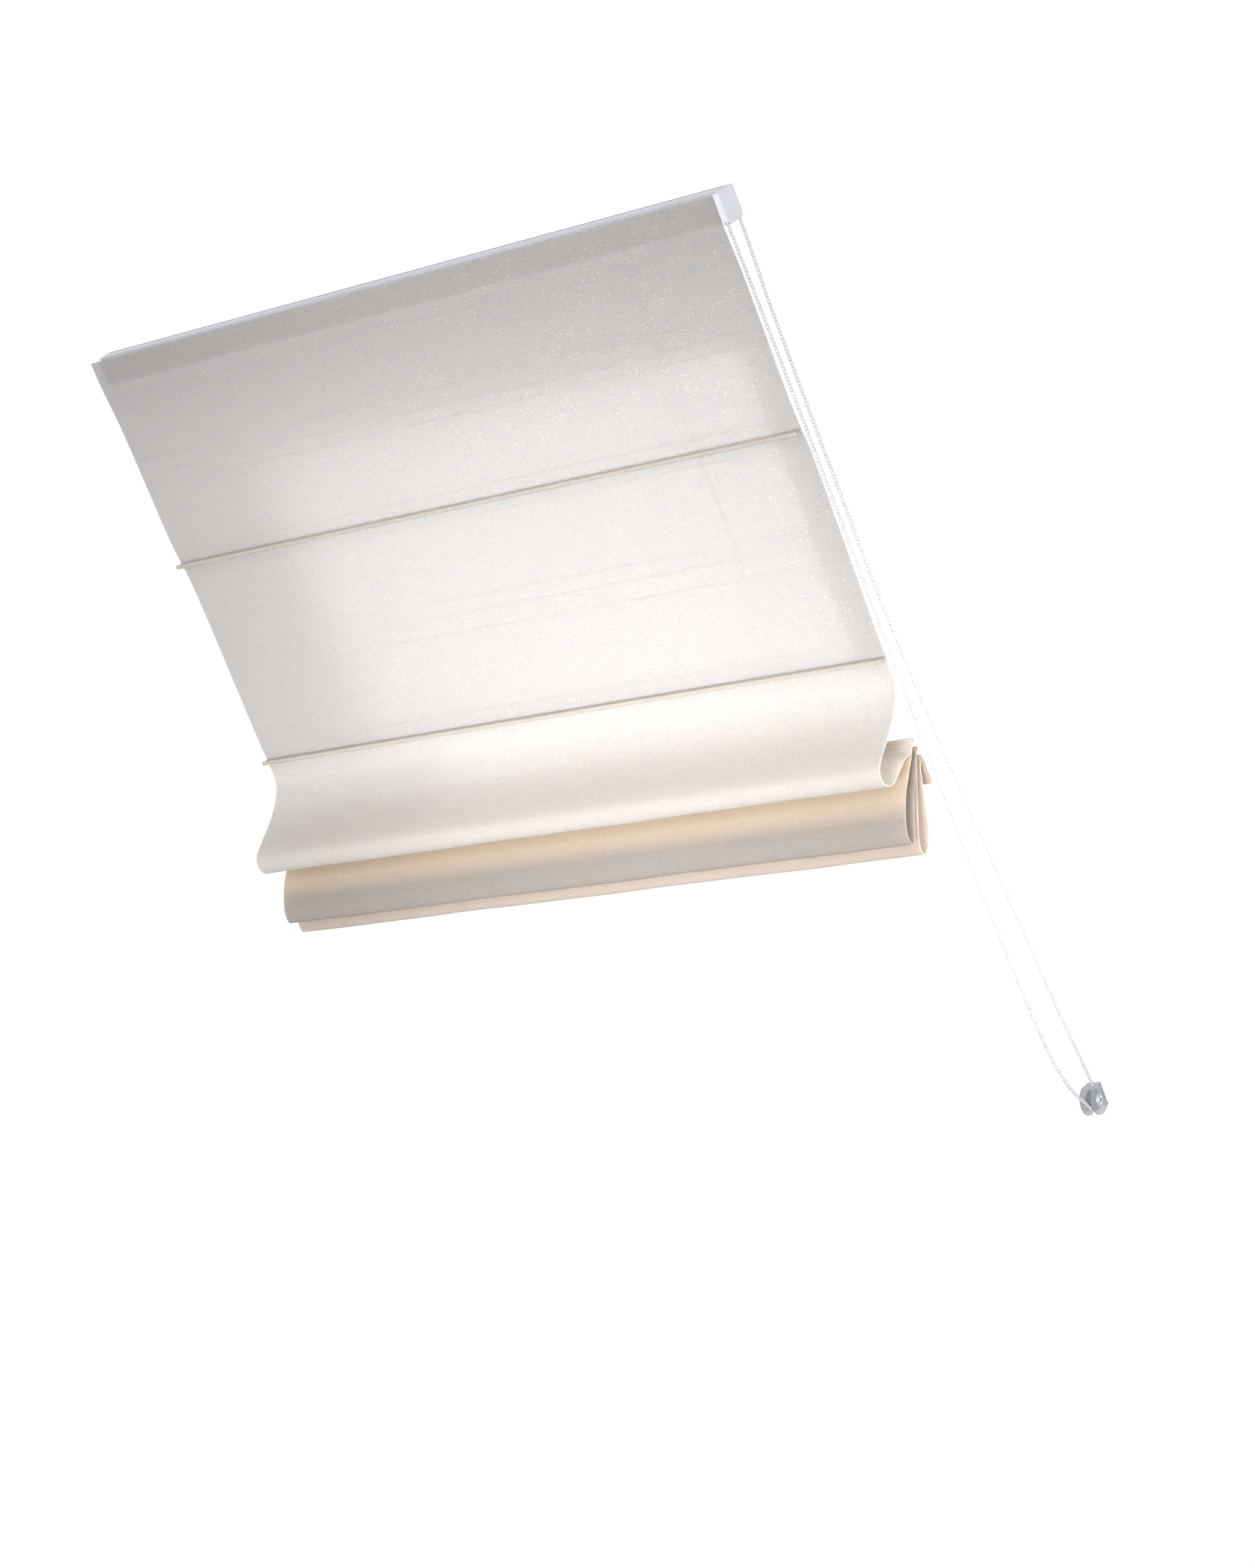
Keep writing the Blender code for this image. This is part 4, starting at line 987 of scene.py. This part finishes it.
def make_all_stitches(thread):
    """Two rows along each open pocket, one on either leg, and two along the hem, one on either side."""
    reach = POCKET_LEGS / 2 - CLOTH_THICKNESS / 2 + POCKET_CLOTH / 2
    for number in range(1, OPEN_RODS + 1):
        seam = pocket_foot(number) + TO_ROOM * POCKET_SEAM
        rows = [seam + DOWN_SLOPE * side * reach for side in (-1, 1)]
        make_stitches(f"rod_pocket_{number}_stitches", f"rod_{number}", rows, thread)
    sewn = rod_centre(5).x + POCKET_RADIUS + TOUCH_GAP + HEM_SEAM
    middle = -CLOTH_BACK + HEM_OFFSET
    rows = [Vector((sewn, middle + side * HEM_THICKNESS / 2)) for side in (-1, 1)]
    make_stitches("hem_sleeve_stitches", "rod_5", rows, thread)


# Light, floor and backdrop

# Lamps in the room: name, place, aim, side, level, colour, and how wide they spread in degrees
ROOM_LAMPS = (
    ("key", (2.2, -2.85, -0.6), (0.05, 0.25, -0.35), 2.4, 3.2, (1.0, 0.985, 0.96), 180),
    ("low", (0.75, -1.35, -1.75), (0.05, 0.36, -0.66), 0.8, 2.1, (1.0, 0.985, 0.96), 46),
    ("side", place_at(1.9, (0.45, -0.25)), place_at(0.5, (0.45, -0.03)), 0.8, 0.8, (1.0, 1.0, 1.0), 180),
    ("end", place_at(1.5, (0.78, -0.12)), place_at(0.5, (0.78, -0.09)), 0.3, 4.5, (1.0, 0.96, 0.9), 40),
)
# Lamps behind the cloth, for the daylight of the window: x and y at their edges, z at the left and right
# edge, level, and how wide they spread in degrees. The second shines into the loop from above, and the third
# lies behind and below the stack
WINDOW_LAMPS = (
    (-0.30, 0.460, 0.165, 0.575, 0.030, -0.010, 0.93, 180),
    (-0.20, 0.500, 0.605, 0.700, 0.030, 0.005, 0.55, 100),
    (-0.20, 0.570, 0.740, 1.150, 0.030, 0.005, 0.80, 180),
)
DAYLIGHT = (0.97, 1.0, 1.02)
ROOM_COLOUR = (0.97, 0.98, 1.0)
ROOM_LEVEL = 0.47
FLOOR_COLOUR = (0.80, 0.80, 0.80)
FLOOR_GLOW = 0.52
FLOOR_LEVEL = -2.1
FLOOR_REACH = 60


def area_lamp(name, place, turn, size, level, colour, spread):
    """A soft lamp; level is its own brightness, where 1 is white, and spread is in degrees."""
    data = bpy.data.lights.new(name, "AREA")
    data.shape = "RECTANGLE"
    data.size, data.size_y = size
    data.energy = level * math.pi * size[0] * size[1]
    data.color = colour
    data.spread = math.radians(spread)
    lamp = bpy.data.objects.new(name, data)
    bpy.context.scene.collection.objects.link(lamp)
    lamp.location = place
    lamp.rotation_mode = "QUATERNION"
    lamp.rotation_quaternion = turn
    lamp.visible_camera = False


def make_world():
    n = Nodes("studio", world=True)
    soft = n.node("ShaderNodeBackground", {"Color": rgb(*ROOM_COLOUR), "Strength": ROOM_LEVEL})
    white = n.node("ShaderNodeBackground", {"Color": WHITE})
    both = n.node("ShaderNodeMixShader", {0: n.shown(), 1: soft.outputs[0], 2: white.outputs[0]})
    bpy.context.scene.world = n.finish(both.outputs[0])


def make_floor():
    """A pale floor that looks white and keeps the blind's shadow, and is see-through from below."""
    n = Nodes("floor")
    plain = n.node("ShaderNodeBsdfDiffuse", {"Color": rgb(*FLOOR_COLOUR)})
    strength = n.maths("MULTIPLY", n.shown(), FLOOR_GLOW)
    glow = n.node("ShaderNodeEmission", {"Color": WHITE, "Strength": strength})
    top = n.node("ShaderNodeAddShader", {0: plain.outputs[0], 1: glow.outputs[0]})
    clear = n.node("ShaderNodeBsdfTransparent")
    below = n.node("ShaderNodeNewGeometry").outputs["Backfacing"]
    both = n.node("ShaderNodeMixShader", {0: below, 1: top.outputs[0], 2: clear.outputs[0]})
    mesh = bpy.data.meshes.new("floor")
    bm = bmesh.new()
    bmesh.ops.create_grid(bm, x_segments=1, y_segments=1, size=FLOOR_REACH)
    bm.to_mesh(mesh)
    bm.free()
    mesh.materials.append(n.finish(both.outputs[0]))
    floor = bpy.data.objects.new("floor", mesh)
    floor.location = (0, 0, FLOOR_LEVEL)
    bpy.context.scene.collection.objects.link(floor)


def make_lights():
    for name, place, aim, side, level, colour, spread in ROOM_LAMPS:
        turn = (Vector(place) - Vector(aim)).to_track_quat("Z", "Y")
        area_lamp(name, place, turn, (side, side), level, colour, spread)
    for x0, x1, y0, y1, z0, z1, level, spread in WINDOW_LAMPS:
        place = place_at((x0 + x1) / 2, ((y0 + y1) / 2, (z0 + z1) / 2))
        size = (math.hypot(x1 - x0, z1 - z0), y1 - y0)
        lean = Matrix.Rotation(math.atan2(z0 - z1, x1 - x0), 4, "Y")
        area_lamp("window", place, (TILT @ lean).to_quaternion(), size, level, DAYLIGHT, spread)


# The tensioner's axle


def make_axle_detail(chrome, shade_look):
    """A washer round the axle screw's head, and a near-black plate of painted shade at the bottom of its
    cross slot.
    """
    centre = Vector((PULLEY_X, PULLEY_Y, PULLEY_Z))
    bm = bmesh.new()
    add_ring(bm, centre + Vector((AXLE_SEAT, 0, 0)), Vector((1, 0, 0)), WASHER_RADIUS, WASHER_WIRE, 40, 12)
    add_piece("tensioner_washer", mesh_of(bm, "tensioner_washer", 80), chrome, "headrail")
    side = SLOT_WIDTH / 2
    arm = [(SLOT_REACH, -side), (SLOT_REACH, side), (side, side)]
    outline = []
    while len(outline) < 4 * len(arm):
        outline += arm
        arm = [(-b, a) for a, b in arm]
    bm = bmesh.new()
    rows = [[bm.verts.new(TILT @ (centre + Vector((x, a, b)))) for a, b in outline] for x in SLOT_FLOOR]
    for i in range(len(outline)):
        bm.faces.new((rows[0][i - 1], rows[0][i], rows[1][i], rows[1][i - 1]))
    bm.faces.new(rows[0])
    bm.faces.new(rows[1])
    slot = mesh_of(bm, "tensioner_screw_slot")
    add_piece("tensioner_screw_slot", slot, shade_look, "headrail")


# Rigid pieces: the look, the finish, the radius of its edges, and the nodes that have it
RIGID = (
    ("rail", "white_rail", 0.0003, ("headrail",)),
    ("white", "white_plastic", 0.0005, ("end_cap_left", "drive_housing", "drive_cover")),
    ("white", "white_plastic", 0.0004, ("ceiling_clip_left", "ceiling_clip_centre", "ceiling_clip_right")),
    ("white", "white_plastic", 0.0002, ("cord_cradle_left", "cord_cradle_right", "drive_sprocket")),
    ("white", "white_plastic", 0.0002, ("cord_spool_left", "cord_spool_right")),
    ("tape", "tape", 0.0002, ("hook_tape", "loop_tape")),
    ("clear", "clear_plastic", 0.0005, ("tensioner_body", "tensioner_pulley")),
    ("chrome", "chrome", 0.0002, ("tensioner_screw",)),
    ("steel", "steel", 0.0003, ("drive_shaft",)),
    ("aluminium", "aluminium", 0.0003, ("hem_bar",)),
    ("fibreglass", "fibreglass", 0.0003, ("rod_1", "rod_2", "rod_3", "rod_4", "rod_5")),
)
SAME_POINT = 1e-6
FLAT_ANGLE = math.radians(1)
EDGE_ANGLE = math.radians(35)


def make_rigid(name, look, radius):
    """A rigid piece as the CAD has it, with its edges rounded."""
    node = frame["nodes"][name]
    bm = bmesh.new()
    bm.from_mesh(node.data)
    bmesh.ops.remove_doubles(bm, verts=bm.verts, dist=SAME_POINT)
    bmesh.ops.dissolve_limit(bm, angle_limit=FLAT_ANGLE, verts=bm.verts, edges=bm.edges)
    edges = [e for e in bm.edges if e.is_manifold and e.calc_face_angle() > EDGE_ANGLE]
    bmesh.ops.bevel(
        bm, geom=edges, offset=radius, segments=2, profile=0.5, affect="EDGES", clamp_overlap=True
    )
    piece = add_piece(name + "_part", mesh_of(bm, name + "_part"), look, node["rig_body"], (name,))
    piece.modifiers.new("even_faces", "WEIGHTED_NORMAL").keep_sharp = True


bpy.context.scene.view_settings.view_transform = "Standard"
bpy.context.scene.cycles.diffuse_bounces = 8
make_camera()
make_world()
make_lights()
make_floor()
LOOKS = {
    # The rail's second and third colours are painted shade: on its front face, and along the ceiling
    "rail": rail_material("rail_white", (0.90, 0.92, 0.99), (0.59, 0.61, 0.67), (0.34, 0.36, 0.41)),
    "white": plastic_material("plastic_white", (0.92, 0.94, 1.0), 0.42, 0.15),
    "bead": clear_material("bead", (0.92, 0.93, 0.97), 0.12, 0.25),
    # The chain's cord: dark grey, painted shade between the beads
    "bead_cord_shade": fibre_material("bead_cord_shade", (0.26, 0.27, 0.31), (900, 900, 900), 0.4),
    "tape": fibre_material("tape", (0.86, 0.85, 0.83), (900, 900, 900), 0.8),
    "cord": fibre_material("cord", (0.84, 0.83, 0.81), (500, 1600, 1600), 0.5),
    "thread": fibre_material("thread", (0.78, 0.74, 0.69), (1200, 1200, 1200), 0.3),
    "clear": clear_material("clear", (0.72, 0.74, 0.78), 0.68, 0.12),
    "chrome": metal_material("chrome", (0.82, 0.83, 0.85), 0.12, (60, 900, 900)),
    # Painted shade: the near-black plate at the bottom of the screw's cross slot
    "shade": metal_material("shade", (0.05, 0.05, 0.055), 0.5, (60, 900, 900)),
    "steel": metal_material("steel", (0.58, 0.58, 0.60), 0.32, (12, 900, 900)),
    "aluminium": metal_material("aluminium", (0.76, 0.77, 0.79), 0.35, (8, 900, 900)),
    "fibreglass": plastic_material("fibreglass", (0.82, 0.81, 0.78), 0.5, 0.2),
}
make_cloth()
make_axle_detail(LOOKS["chrome"], LOOKS["shade"])
make_all_stitches(LOOKS["thread"])
make_chain(LOOKS["bead"], LOOKS["bead_cord_shade"])
for cord_side, cord_x in (("left", -CORD_X), ("right", CORD_X)):
    make_lift_cord(cord_side, cord_x, LOOKS["cord"], LOOKS["white"])
    for rod_number in range(1, 6):
        make_cord_ring(rod_number, cord_side, cord_x, LOOKS["clear"], LOOKS["thread"])
for look_name, finish, edge_radius, node_names in RIGID:
    for node_name in node_names:
        make_rigid(node_name, LOOKS[look_name], edge_radius)
